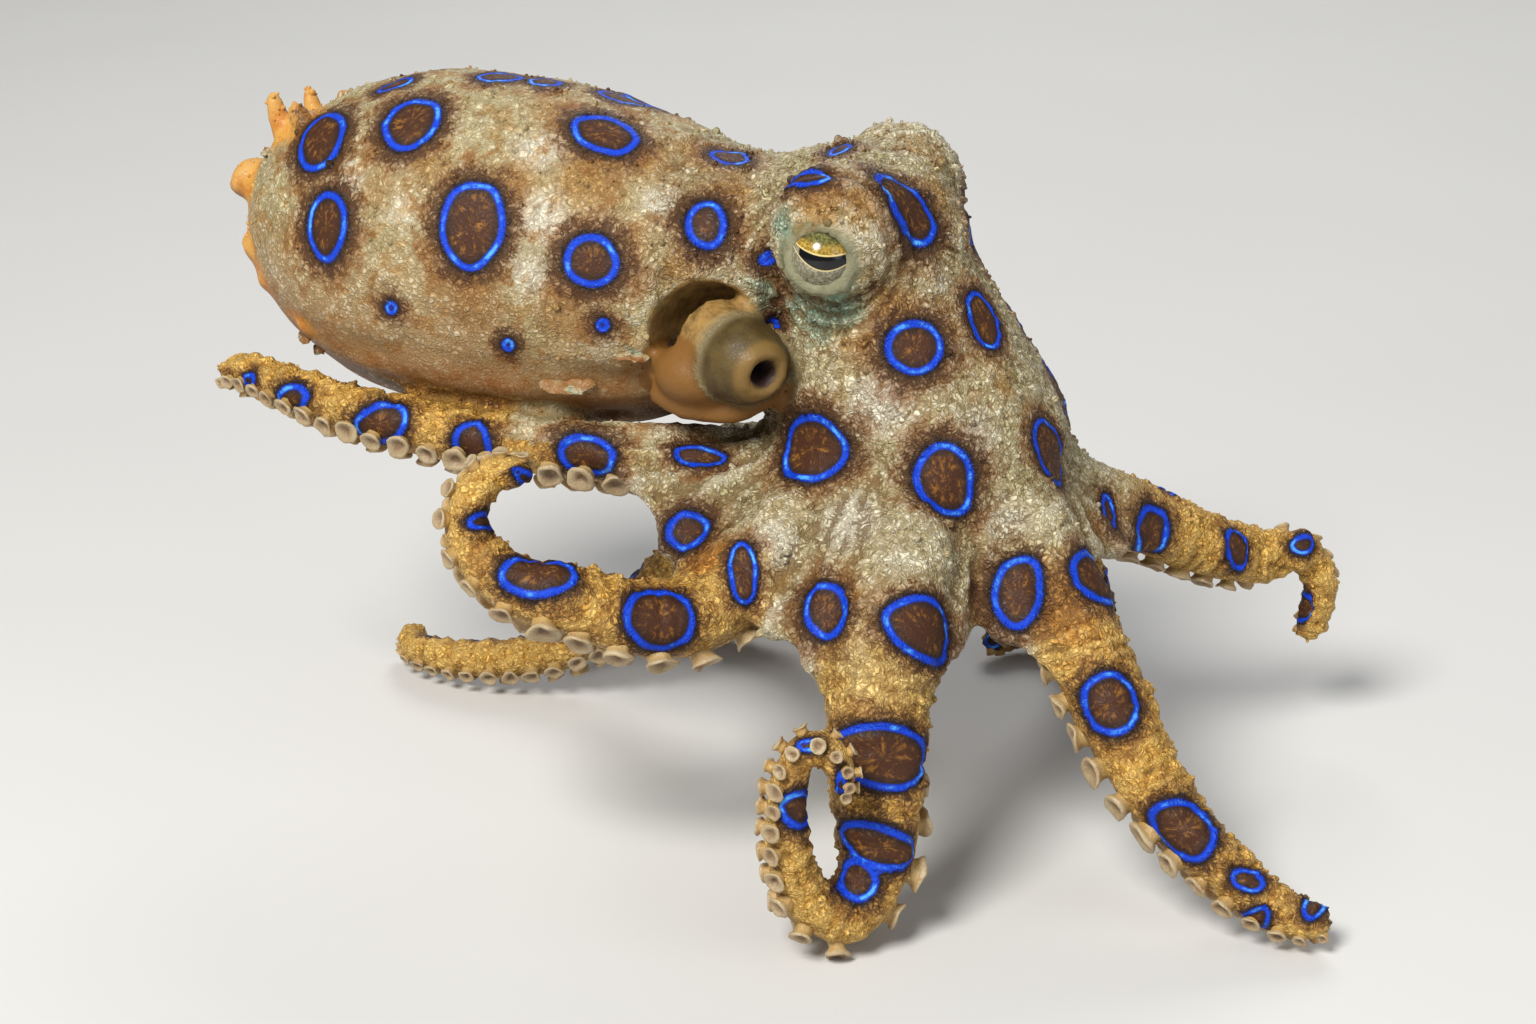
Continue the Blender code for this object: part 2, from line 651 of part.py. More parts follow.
def root_block(arm, neighbours):
    """The arm's share of the solid crown between the head, the mouth and the roots of the arms."""
    sections = []
    for drop, outside, lip, narrowing in ((0.0, ROOT_RADIUS, MOUTH_RADIUS + GAP, 0.0),
                                          (1.2, 10.2, MOUTH_RADIUS + GAP, 0.3),
                                          (ROOT_DEPTH, 8.6, MOUTH_RADIUS + 1.6, 1.2)):
        corners = {}
        for other in neighbours:
            bearing = (radial(arm.turn) + radial(other.turn)).normalized()
            bearing = (bearing * 3 + radial(arm.turn) * narrowing).normalized()
            nearer = (radial(arm.turn) * 2 + bearing * 3).normalized()
            apart = clearance(arm, other)
            corners[arm.side_of(other)] = (nearer * outside, bearing * outside + apart, bearing * lip + apart,
                                           nearer * lip)
        outline = [radial(arm.turn) * outside, *corners[1], radial(arm.turn) * lip, *reversed(corners[-1])]
        middle = ROOT_CENTRE - UP * (GAP + drop)
        sections.append([middle + corner for corner in outline])
    return loft(sections)


def sucker(centre, oral, tangent, radius):
    """One flared sucker with a dimple, standing on the arm's skin."""
    across = oral.cross(tangent).normalized()
    along = across.cross(oral)
    stand = radius * SUCKER_STAND
    root = ring_points(centre - oral * 0.35, along, across, radius * 0.62, radius * 0.62, SUCKER_SIDES)
    rim = ring_points(centre + oral * stand, along, across, radius, radius, SUCKER_SIDES)
    mesh = loft([root, rim])
    top = max(mesh.faces, key=lambda face: face.calc_center_median().dot(oral))
    made = bmesh.ops.poke(mesh, faces=[top])["verts"]
    made[0].co -= oral * radius * 0.55
    return mesh


def sucker_places(arm):
    """Distance, turn round the arm and radius of every sucker."""
    places = []
    distance = SUCKER_START
    row = 1
    while True:
        radius = min(SUCKER_MOST, max(SUCKER_LEAST, arm.half_width(distance) * SUCKER_SHARE))
        if distance + radius > arm.length - 0.2:
            return places
        places.append((distance, 180 + SUCKER_SPLAY * row, radius))
        distance += radius * SUCKER_PITCH
        row = -row


def add_suckers(made, arm, start, end):
    """Joins to a length of arm the suckers that stand wholly on it."""
    pieces = []
    for distance, degrees, radius in sucker_places(arm):
        reach = radius * 0.62 + 0.1
        if not start + reach <= distance <= end - min(reach, 0.3 if end == arm.length else reach):
            continue
        centre, tangent, _, _ = arm.frame(distance)
        skin = arm.point(distance, degrees)
        outward = (skin - centre).normalized()
        pieces.append(object_from(sucker(skin, outward, tangent, radius), "sucker"))
    if pieces:
        join(made, pieces)
    cut_at_floor(made)
    keep_largest(made)


def make_base(arm, neighbours, look):
    """The root of an arm with its halves of the webs on both sides."""
    count = max(6, round(arm.base / 2.3))
    sections = []
    for k in range(count + 1):
        distance = max(0.4, arm.base * k / count)
        sections.append([under_head(arm.point(distance, 360 * i / ARM_SIDES)) for i in range(ARM_SIDES)])
    made = object_from(loft(sections), f"arm_{arm.name}_base")
    pieces = [object_from(root_block(arm, neighbours), "root")]
    pieces += [object_from(half_web(arm, other), "web") for other in neighbours]
    join(made, pieces)
    add_suckers(made, arm, 0.0, arm.base)
    finish(made, look)


def make_length(arm, start, end, name, look):
    """A length of free arm between two distances from its root."""
    last = arm.length - arm.widths[3] if end == arm.length else end
    count = max(3, round((last - start) / 2.4))
    stations = [start + (last - start) * i / count for i in range(count + 1)]
    if end == arm.length:
        stations += [arm.length - arm.widths[3] * share for share in (0.45, 0.08)]
    sections = [[arm.point(station, 360 * i / ARM_SIDES) for i in range(ARM_SIDES)] for station in stations]
    made = object_from(loft(sections), name)
    add_suckers(made, arm, start, end)
    finish(made, look)


def make_arm(arm, neighbours, look):
    make_base(arm, neighbours, look)
    names = ("upper", "lower", "tip")
    marks = [arm.base, *arm.cuts, arm.length]
    for i, (start, end) in enumerate(zip(marks, marks[1:])):
        begin = start + (GAP if i == 0 else GAP / 2)
        stop = end if end == arm.length else end - GAP / 2
        make_length(arm, begin, stop, f"arm_{arm.name}_{names[i]}", look)


def make_mouth(look):
    """Round lips in the middle of the arms, with the tip of the beak between them."""
    levels = ((0.0, 0.85), (-0.6, 0.98), (-1.2, 0.9), (-LIP_DROP, 0.62), (-1.2, 0.34), (-0.9, 0.14))
    sections = []
    for drop, share in levels:
        centre = ROOT_CENTRE + UP * (drop - GAP)
        sections.append(ring_points(centre, Vector((1, 0, 0)), Vector((0, 1, 0)), MOUTH_RADIUS * share,
                                    MOUTH_RADIUS * share, 12))
    made = object_from(loft(sections), "mouth")
    finish(made, look)


def main():
    for old in list(bpy.data.objects):
        bpy.data.objects.remove(old)
    skin = material("skin", (0.62, 0.47, 0.25), 0.55)
    mouth_skin = material("mouth_skin", (0.52, 0.30, 0.20), 0.45)
    eye = material("eye", (0.55, 0.42, 0.12), 0.12)
    make_mantle(skin)
    make_head(skin)
    make_eye(-1, "eye_right", eye)
    make_eye(1, "eye_left", eye)
    make_funnel(skin)
    make_mouth(mouth_skin)
    arms = [Arm(name) for name in ORDER]
    for i, arm in enumerate(arms):
        make_arm(arm, (arms[i - 1], arms[(i + 1) % len(arms)]), skin)


main()
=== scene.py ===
# %% [markdown]
# # A blue ringed octopus, life size
# The animal stands on its arms with its head high and its mantle held level behind it. Its solids
# are already packed: the script loads them as a fixed frame and dresses them.
# All the sizes below are in millimetres, because the whole animal is shorter than a finger, and they
# are made metres when a piece is placed.

# %% Load the frame
import math
import random

import bmesh
import bpy
import numpy as np
from mathutils import Matrix, Vector, noise
from mathutils.bvhtree import BVHTree
from mathutils.kdtree import KDTree


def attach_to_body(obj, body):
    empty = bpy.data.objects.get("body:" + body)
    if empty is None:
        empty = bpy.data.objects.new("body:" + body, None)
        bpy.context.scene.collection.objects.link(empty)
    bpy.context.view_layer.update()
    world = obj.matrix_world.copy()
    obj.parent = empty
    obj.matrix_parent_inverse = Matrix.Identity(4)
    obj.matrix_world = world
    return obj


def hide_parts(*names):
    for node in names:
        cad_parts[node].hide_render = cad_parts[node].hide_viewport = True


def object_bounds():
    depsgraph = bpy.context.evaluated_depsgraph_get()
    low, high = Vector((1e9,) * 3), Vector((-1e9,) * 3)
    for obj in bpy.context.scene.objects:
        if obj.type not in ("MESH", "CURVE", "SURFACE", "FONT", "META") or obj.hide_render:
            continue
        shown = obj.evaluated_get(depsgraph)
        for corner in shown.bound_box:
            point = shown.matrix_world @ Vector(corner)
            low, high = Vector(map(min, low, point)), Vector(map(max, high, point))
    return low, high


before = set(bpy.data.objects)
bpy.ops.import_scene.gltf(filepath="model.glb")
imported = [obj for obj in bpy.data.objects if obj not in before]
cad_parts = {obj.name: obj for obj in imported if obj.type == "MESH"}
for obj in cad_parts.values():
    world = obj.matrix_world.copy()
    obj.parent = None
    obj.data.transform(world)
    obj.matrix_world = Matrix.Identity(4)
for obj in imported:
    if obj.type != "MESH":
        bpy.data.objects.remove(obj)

solid_box = [list(corner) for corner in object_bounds()]
print("solids:", len(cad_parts), "nodes, box", solid_box)

# %% [markdown]
# ## The frame that everything shares
# The animal faces right (+X) and a little towards the camera. Three directions describe its body
# better than X and Y do: where it heads, its left, and up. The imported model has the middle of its
# box over the origin, so one shift and one scale take a point in millimetres to its place.

# %% Directions and units
MM = 0.001
BOX_CENTRE = Vector((1.0, 11.7, 0.0))
HEADING = Vector((0.934, -0.357, 0.0))
LEFT = Vector((0.357, 0.934, 0.0))
UP = Vector((0.0, 0.0, 1.0))
X = Vector((1.0, 0.0, 0.0))
Y = Vector((0.0, 1.0, 0.0))


def placed(point):
    """A point in millimetres as its place in the scene."""
    return (Vector(point) - BOX_CENTRE) * MM


# %% [markdown]
# ## Camera
# The photograph was taken from close by and a little above, with a long lens. A camera 225 mm away,
# 20 degrees above the horizon and with a 75 mm lens gives the same outline. The same numbers turn a
# pixel of the picture into a ray, which is used later to find where each ring lies on the skin.

# %% Camera
PICTURE_WIDTH = 1536
PICTURE_HEIGHT = 1024
LENS = 75.0
SENSOR = 36.0
CAMERA_AIM = Vector((0.0, 0.0, 26.4))
CAMERA_AWAY = 225.0
CAMERA_ELEVATION = math.radians(20.0)
CAMERA_BACK = Vector((0.0, -math.cos(CAMERA_ELEVATION), math.sin(CAMERA_ELEVATION)))
CAMERA_RIGHT = X
CAMERA_UP = CAMERA_BACK.cross(CAMERA_RIGHT)
CAMERA_EYE = CAMERA_AIM + CAMERA_BACK * CAMERA_AWAY
FOCAL_PIXELS = LENS / SENSOR * PICTURE_WIDTH


def pixel_ray(across, down):
    """Direction from the camera through a pixel of the 1536 x 1024 picture."""
    right = CAMERA_RIGHT * (across - PICTURE_WIDTH / 2)
    return (right - CAMERA_UP * (down - PICTURE_HEIGHT / 2) - CAMERA_BACK * FOCAL_PIXELS).normalized()


def make_camera():
    data = bpy.data.cameras.new("camera")
    data.lens = LENS
    data.sensor_width = SENSOR
    data.clip_start = 0.01
    camera = bpy.data.objects.new("camera", data)
    camera.location = placed(CAMERA_EYE)
    camera.rotation_euler = (-CAMERA_BACK).to_track_quat("-Z", "Y").to_euler()
    bpy.context.scene.collection.objects.link(camera)
    bpy.context.scene.camera = camera


make_camera()

# %% [markdown]
# ## Floor and light
# The model stands on a plain pale floor. One large soft light from the upper left gives the form,
# a weaker one from the right opens the shadows, and one from behind lifts the edges. The Standard
# view keeps blues as saturated as they are painted.

# %% Floor and light
FLOOR_SIZE = 6.0
LIGHTS = {
    "key": {"at": (-190.0, -330.0, 420.0), "size": 0.22, "power": 4.2, "tint": (1.0, 0.99, 0.96)},
    "fill": {"at": (380.0, -260.0, 200.0), "size": 0.4, "power": 0.6, "tint": (0.92, 0.96, 1.0)},
    "rim": {"at": (60.0, 420.0, 360.0), "size": 0.3, "power": 1.0, "tint": (1.0, 1.0, 1.0)},
}
WORLD_LIGHT = 0.22
WORLD_TINT = (0.86, 0.9, 0.95, 1.0)


def object_of(mesh, name):
    """A bmesh as an object at the origin, with the mesh as it is."""
    data = bpy.data.meshes.new(name)
    mesh.to_mesh(data)
    mesh.free()
    made = bpy.data.objects.new(name, data)
    bpy.context.scene.collection.objects.link(made)
    return made


def make_light(name, facts):
    data = bpy.data.lights.new(name, "AREA")
    data.shape = "DISK"
    data.size = facts["size"]
    data.energy = facts["power"]
    data.color = facts["tint"]
    light = bpy.data.objects.new(name, data)
    light.location = placed(facts["at"])
    toward = placed(CAMERA_AIM) - light.location
    light.rotation_euler = toward.to_track_quat("-Z", "Y").to_euler()
    bpy.context.scene.collection.objects.link(light)


def make_world():
    world = bpy.data.worlds.new("studio")
    world.use_nodes = True
    back = world.node_tree.nodes["Background"]
    back.inputs["Color"].default_value = WORLD_TINT
    back.inputs["Strength"].default_value = WORLD_LIGHT
    bpy.context.scene.world = world


def make_floor():
    mesh = bmesh.new()
    bmesh.ops.create_grid(mesh, x_segments=1, y_segments=1, size=FLOOR_SIZE / 2)
    floor = object_of(mesh, "floor")
    return floor


for light_name, light_facts in LIGHTS.items():
    make_light(light_name, light_facts)
make_world()
floor = make_floor()
bpy.context.scene.view_settings.view_transform = "Standard"

# %% [markdown]
# ## Tools for soft forms
# Flesh has no flat faces and no straight edges. Most of this animal is a tube whose width changes:
# the mantle, the funnel, the head and the arms. A cap that is extruded from one ring of points to
# the next makes such a tube and keeps it closed, which the joining later needs.

# %% Lofts, rings and balls


def smoothstep(value, low, high):
    share = min(1.0, max(0.0, (value - low) / (high - low)))
    return share * share * (3 - 2 * share)


def ring_points(centre, across, upward, half_across, half_up, sides):
    points = []
    for i in range(sides):
        angle = 2 * math.pi * i / sides
        points.append(centre + across * half_across * math.cos(angle) + upward * half_up * math.sin(angle))
    return points


def loft(sections):
    """A closed solid through rings of points, made by extruding a cap from one ring to the next."""
    mesh = bmesh.new()
    cap = mesh.faces.new([mesh.verts.new(point) for point in sections[0]])
    for step, (before, after) in enumerate(zip(sections, sections[1:])):
        place_in_ring = {Vector(point).to_tuple(4): i for i, point in enumerate(before)}
        made = bmesh.ops.extrude_face_region(mesh, geom=[cap])["geom"]
        if step > 0:
            bmesh.ops.delete(mesh, geom=[cap], context="FACES_ONLY")
        cap = next(item for item in made if isinstance(item, bmesh.types.BMFace))
        for corner in cap.verts:
            corner.co = after[place_in_ring[corner.co.to_tuple(4)]]
    bmesh.ops.recalc_face_normals(mesh, faces=mesh.faces)
    return mesh


def tube(line, widths, sides):
    """A closed tube along a line of points, with the radius given at each."""
    last = len(line) - 1
    sections = []
    for i, (point, width) in enumerate(zip(line, widths)):
        along = (line[min(i + 1, last)] - line[max(i - 1, 0)]).normalized()
        across = along.cross(UP).normalized()
        sections.append(ring_points(point, across, across.cross(along), width, width, sides))
    return loft(sections)


def turned(place, x, y, z):
    """The move that takes a form to a place with its own axes along three directions."""
    return Matrix.Translation(place) @ Matrix((x, y, z)).transposed().to_4x4()


def ball(centre, radii, sides=32, rings=20):
    """An ellipsoid whose axes follow HEADING, LEFT and UP."""
    mesh = bmesh.new()
    bmesh.ops.create_uvsphere(mesh, u_segments=sides, v_segments=rings, radius=1.0)
    mesh.transform(turned(centre, HEADING, LEFT, UP) @ Matrix.Diagonal((*radii, 1.0)))
    return mesh


def spun(profile, sides, centre=Vector((0, 0, 0)), capped=False):
    """Points of a radius and a height spun round Z, and the open end closed where it is asked."""
    mesh = bmesh.new()
    corners = [mesh.verts.new(centre + Vector((radius, 0.0, height))) for radius, height in profile]
    edges = [mesh.edges.new(pair) for pair in zip(corners, corners[1:])]
    bmesh.ops.spin(mesh, geom=corners + edges, cent=centre, axis=UP, angle=2 * math.pi, steps=sides,
                   use_merge=True)
    bmesh.ops.remove_doubles(mesh, verts=mesh.verts, dist=1e-4)
    if capped:
        bmesh.ops.contextual_create(mesh, geom=[edge for edge in mesh.edges if edge.is_boundary])
    bmesh.ops.recalc_face_normals(mesh, faces=mesh.faces)
    return mesh


def smooth_route(points, steps=14):
    """Points along a Catmull-Rom curve through the given ones."""
    ends = [points[0] * 2 - points[1], *points, points[-1] * 2 - points[-2]]
    route = []
    for p0, p1, p2, p3 in zip(ends, ends[1:], ends[2:], ends[3:]):
        for i in range(steps):
            t = i / steps
            route.append(0.5 * (2 * p1 + (p2 - p0) * t + (2 * p0 - 5 * p1 + 4 * p2 - p3) * t * t
                                + (3 * p1 - p0 - 3 * p2 + p3) * t**3))
    route.append(points[-1].copy())
    return route


# %% [markdown]
# ## Mantle
# The mantle is the sac behind the head that holds the organs. It is an egg, blunt at the apex and
# open at the front, where the loose lower edge leaves a pocket beside the funnel. The egg is a loft
# along the body's axis. The pocket is cut with a Boolean, the one tool here that keeps a clean rim.
# Fleshy tags stand round the apex, in pairs.

# %% Mantle
MANTLE_APEX = Vector((-39.2, 28.0, 40.7))
MANTLE_LENGTH = 36.9
MANTLE_SINK = 0.8
MANTLE_HEIGHT = 12.8
MANTLE_WIDTH = 12.1
MANTLE_WIDEST = 0.55
MANTLE_SHAPE = (2.07, 1.93)
MANTLE_FRONT = 0.8
MANTLE_SIDES = 64
MANTLE_STEPS = 40
APEX_SHARE = 0.0008
APEX_CROWDING = 1.8
POCKET_CENTRE = Vector((-4.7, 4.6, 37.3))
POCKET_RADII = (4.1, 6.2, 4.3)
HEM = ((-8.2, 7.2, 33.2), (-6.0, 5.4, 32.3), (-3.6, 4.7, 32.1), (-1.2, 4.7, 32.8), (1.4, 5.4, 33.9))
HEM_RADIUS = 0.85
FAR_POCKET_RADII = (3.6, 4.0, 3.4)
POCKET_FACES = (48, 32)
# Each row is the root, a bend and the tip of a tag, and its radius at root, neck and head.
PAPILLAE = (
    ((-35.0, 24.0, 46.6), (-36.6, 24.5, 48.6), (-37.2, 24.5, 51.2), 1.8, 1.0, 0.75),
    ((-34.0, 22.6, 48.2), (-34.9, 22.6, 49.4), (-35.2, 22.6, 50.6), 1.2, 0.9, 0.8),
    ((-35.9, 24.9, 44.2), (-38.6, 26.0, 43.7), (-40.4, 26.5, 44.7), 1.8, 1.3, 1.75),
    ((-35.8, 24.4, 42.4), (-37.6, 24.6, 41.9), (-39.2, 24.6, 42.6), 1.7, 1.3, 1.15),
    ((-35.8, 23.2, 40.1), (-38.2, 23.4, 39.6), (-39.5, 23.5, 38.5), 1.7, 1.2, 1.5),
    ((-35.2, 21.8, 38.2), (-37.2, 22.0, 37.4), (-38.5, 22.0, 36.6), 1.4, 1.1, 0.95),
    ((-31.8, 19.4, 36.2), (-34.0, 19.0, 34.9), (-35.1, 19.0, 33.9), 1.9, 1.5, 1.4),
)
PAPILLA_SIDES = 12
NECK_SHARE = 0.5
HEAD_SHARE = 0.78
ROUND_SHARE = 0.74
FINE_STEPS = 6
FAR_PAPILLA = 0.85


def mantle_swell(share):
    """Radius as a share of the greatest, from the apex (0) to the open front (1)."""
    if share < MANTLE_WIDEST:
        toward_apex = 1 - share / MANTLE_WIDEST
        return (1 - toward_apex ** MANTLE_SHAPE[0]) ** (1 / MANTLE_SHAPE[1])
    toward_front = (share - MANTLE_WIDEST) / (1 - MANTLE_WIDEST)
    return 1 - (1 - MANTLE_FRONT) * toward_front**2


def mantle_axis(share):
    return MANTLE_APEX + (HEADING * MANTLE_LENGTH - UP * MANTLE_SINK) * share


def mirrored(point):
    """The place on the other side of the body."""
    return point - LEFT * 2 * (point - MANTLE_APEX).dot(LEFT)


def papilla_pair(facts):
    """A fleshy tag on a narrow neck, and a smaller one opposite it on the mantle's left side."""
    root, bend, tip, *widths = facts
    route = [Vector(root), Vector(bend), Vector(tip)]
    across = [mirrored(point) for point in route]
    opposite = [across[0].lerp(point, FAR_PAPILLA) for point in across]
    return [papilla(route, widths), papilla(opposite, [width * FAR_PAPILLA for width in widths])]


def papilla(route, widths):
    """A tube with a narrow neck, halfway along, and a rounded head."""
    at_root, at_neck, at_head = widths
    line = smooth_route(route, FINE_STEPS)
    radii = []
    for i in range(len(line)):
        share = i / (len(line) - 1)
        if share < NECK_SHARE:
            width = at_root + (at_neck - at_root) * smoothstep(share, 0.0, NECK_SHARE)
        else:
            width = at_neck + (at_head - at_neck) * smoothstep(share, NECK_SHARE, HEAD_SHARE)
        past = max(0.0, (share - ROUND_SHARE) / (1 - ROUND_SHARE))
        radii.append(width * math.sqrt(max(0.05, 1 - past**2)))
    return tube(line, radii, PAPILLA_SIDES)


def mantle():
    sections = []
    for step in range(MANTLE_STEPS + 1):
        share = APEX_SHARE + (1 - APEX_SHARE) * (step / MANTLE_STEPS) ** APEX_CROWDING
        swell = mantle_swell(share)
        sections.append(ring_points(mantle_axis(share), LEFT, UP, MANTLE_WIDTH * swell,
                                    MANTLE_HEIGHT * swell, MANTLE_SIDES))
    return loft(sections)


def hem():
    """The loose lower edge of the mantle, which passes under the funnel to the head."""
    line = smooth_route([Vector(point) for point in HEM], FINE_STEPS)
    return tube(line, [HEM_RADIUS] * len(line), PAPILLA_SIDES)


def with_pockets(mesh):
    """The same form with the pocket beside the funnel cut from it, and a shallower one opposite."""
    made = object_of(mesh, "made")
    middle = mantle_axis(1.0)
    far = POCKET_CENTRE - LEFT * 2 * (POCKET_CENTRE - middle).dot(LEFT)
    cutters = [object_of(ball(centre, radii, *POCKET_FACES), "pocket")
               for centre, radii in ((POCKET_CENTRE, POCKET_RADII), (far, FAR_POCKET_RADII))]
    for cutter in cutters:
        boolean = made.modifiers.new(cutter.name, "BOOLEAN")
        boolean.operation = "DIFFERENCE"
        boolean.object = cutter
    cut = bmesh.new()
    cut.from_object(made, bpy.context.evaluated_depsgraph_get())
    for used in (made, *cutters):
        bpy.data.objects.remove(used)
    return cut


# %% [markdown]
# ## Head, eyes and funnel
# The head is a stack of rings from the crown of arms up to the brow, with a round mound for each
# eye. Each mound bears a raised lid. The funnel is a short pipe through which the animal breathes
# out. Its wall folds back inside at the mouth, so its loft simply goes on inward after the rim.

# %% Head and funnel
ROOT_LEVEL = 30.0
ROOT_CENTRE = Vector((11.2, 9.8, ROOT_LEVEL))
HEAD_SIDES = 48
# Each row is a height, the x and y of the ring's middle, and its radius.
HEAD_LEVELS = (
    (30.0, 11.2, 9.8, 11.2), (32.0, 10.6, 9.9, 10.8), (34.5, 9.9, 10.0, 10.0), (38.4, 8.8, 10.2, 8.6),
    (41.5, 7.9, 10.8, 7.6), (45.0, 7.0, 11.4, 7.3), (48.0, 6.3, 12.0, 6.0), (49.4, 5.8, 12.4, 3.6),
    (50.0, 5.7, 12.5, 1.0),
)
NECK_START = Vector((-4.7, 14.9, 42.0))
NECK_WIDTH = 9.0
NECK_HEIGHT = 7.4
NECK_RINGS = ((-2.0, 0.98), (0.0, 1.0), (3.0, 0.96), (7.0, 0.82), (10.0, 0.5))
EYE_SPREAD = 6.4
EYE_MOUND = 5.0
MOUND_FOOT = 5.2
FOOT_IN = 2.2
FOOT_DROP = 0.6
EYE_MIDDLE = Vector((7.3, 11.3, 45.3))
EYE_OUT = 3.2
EYE_FORWARD = -0.1
EYE_SINK = 0.9
EYE_LEANS = (0.2, 0.22)
EYE_OPENING = (1.75, 1.5)
EYE_RADIUS = 2.3
LID_RADIUS = 2.3
LID_THICK = 0.56
LID_OUT = 0.7
FUNNEL_MIDDLE = Vector((-1.55, 3.3, 36.4))
FUNNEL_WAY = Vector((0.544, -0.832, -0.118)).normalized()
# Each pair is a reach along the funnel and a radius, out to the rim and then back inside.
FUNNEL_PROFILE = (
    (-4.6, 3.2), (-3.4, 3.15), (-2.2, 3.1), (-1.1, 3.05), (-0.2, 3.03), (0.5, 2.97), (1.1, 2.8),
    (1.6, 2.52), (1.95, 2.2), (2.15, 1.98), (2.3, 1.93), (2.5, 1.96), (2.66, 1.86), (2.72, 1.66),
    (2.68, 1.42), (2.5, 1.16), (2.1, 0.98), (1.3, 0.86), (0.0, 0.75), (-1.6, 0.7),
)
FUNNEL_INSIDE = (14, 17)
FUNNEL_RIM = 2.3
FUNNEL_FLAT = 0.85
COLLAR_CENTRE = Vector((-4.9, 5.6, 34.9))
COLLAR_RADII = (3.3, 3.0, 2.3)
FUNNEL_SIDES = 40


def neck():
    return loft([ring_points(NECK_START + HEADING * reach, LEFT, UP, NECK_WIDTH * swell, NECK_HEIGHT * swell,
                             HEAD_SIDES) for reach, swell in NECK_RINGS])


def stack(rows):
    """A closed solid through level circles, each given by its middle and its radius."""
    return loft([ring_points(middle, X, Y, radius, radius, HEAD_SIDES) for middle, radius in rows])


def head_body():
    return stack([(Vector((x, y, level)), radius) for level, x, y, radius in HEAD_LEVELS])


def eye_centre(side):
    return EYE_MIDDLE + LEFT * side * (EYE_SPREAD + EYE_OUT) + HEADING * EYE_FORWARD - UP * EYE_SINK


def eye_frame(side):
    """Three directions of an eye: forward, up and out. It looks a little ahead and a little up."""
    out = (LEFT * side + HEADING * EYE_LEANS[0] + UP * EYE_LEANS[1]).normalized()
    forward = (HEADING - out * HEADING.dot(out)).normalized()
    upward = out.cross(forward) * -side
    return forward, upward, out


def lid(side):
    """A raised rim round the eye: a small circle spun round the eye's axis."""
    forward, upward, out = eye_frame(side)
    centre = eye_centre(side) + out * LID_OUT
    mesh = bmesh.new()
    bmesh.ops.create_circle(mesh, segments=10, radius=LID_THICK)
    mesh.transform(turned(centre + forward * LID_RADIUS, forward, out, upward))
    bmesh.ops.spin(mesh, geom=mesh.verts[:] + mesh.edges[:], cent=centre, axis=out,
                   angle=2 * math.pi, steps=36, use_merge=True)
    bmesh.ops.recalc_face_normals(mesh, faces=mesh.faces)
    return mesh


def funnel():
    across = FUNNEL_WAY.cross(UP).normalized()
    upward = across.cross(FUNNEL_WAY)
    sections = []
    for i, (reach, radius) in enumerate(FUNNEL_PROFILE):
        inside = smoothstep(i, *FUNNEL_INSIDE)
        sections.append(ring_points(FUNNEL_MIDDLE + FUNNEL_WAY * reach, across, upward, radius,
                                    radius * (1 + (FUNNEL_FLAT - 1) * inside), FUNNEL_SIDES))
    return loft(sections)


# %% [markdown]
# ## Arms and webs
# Eight arms leave the head in a ring. Each follows its own curve through a few points, and the
# direction of its suckers is carried along the curve, with a twist where the photograph shows one.
# Between neighbours a thin web runs from the head part of the way down both arms.

# %% Arms
ROOT_REACH = 8.3
ROOT_HALF = 2.65
# Each pair is a drop below the middle of the crown and a radius.
CROWN_RINGS = ((-1.0, 11.0), (0.0, 11.2), (1.2, 10.2), (5.0, 8.6), (5.0, 4.6), (2.5, 3.4), (1.4, 3.0))
ROOT_DIP = 0.8
ROOT_SINK = 0.3
WEB_THICK = 1.3
ROOT_BULGE = 0.1
EDGE_BULGE = 0.05
ARM_SIDES = 24
ARM_STEP = 0.8
ARM_FLATNESS = 0.84
TIP_SHARES = (0.8, 0.6, 0.4, 0.2, 0.08, 0.02)
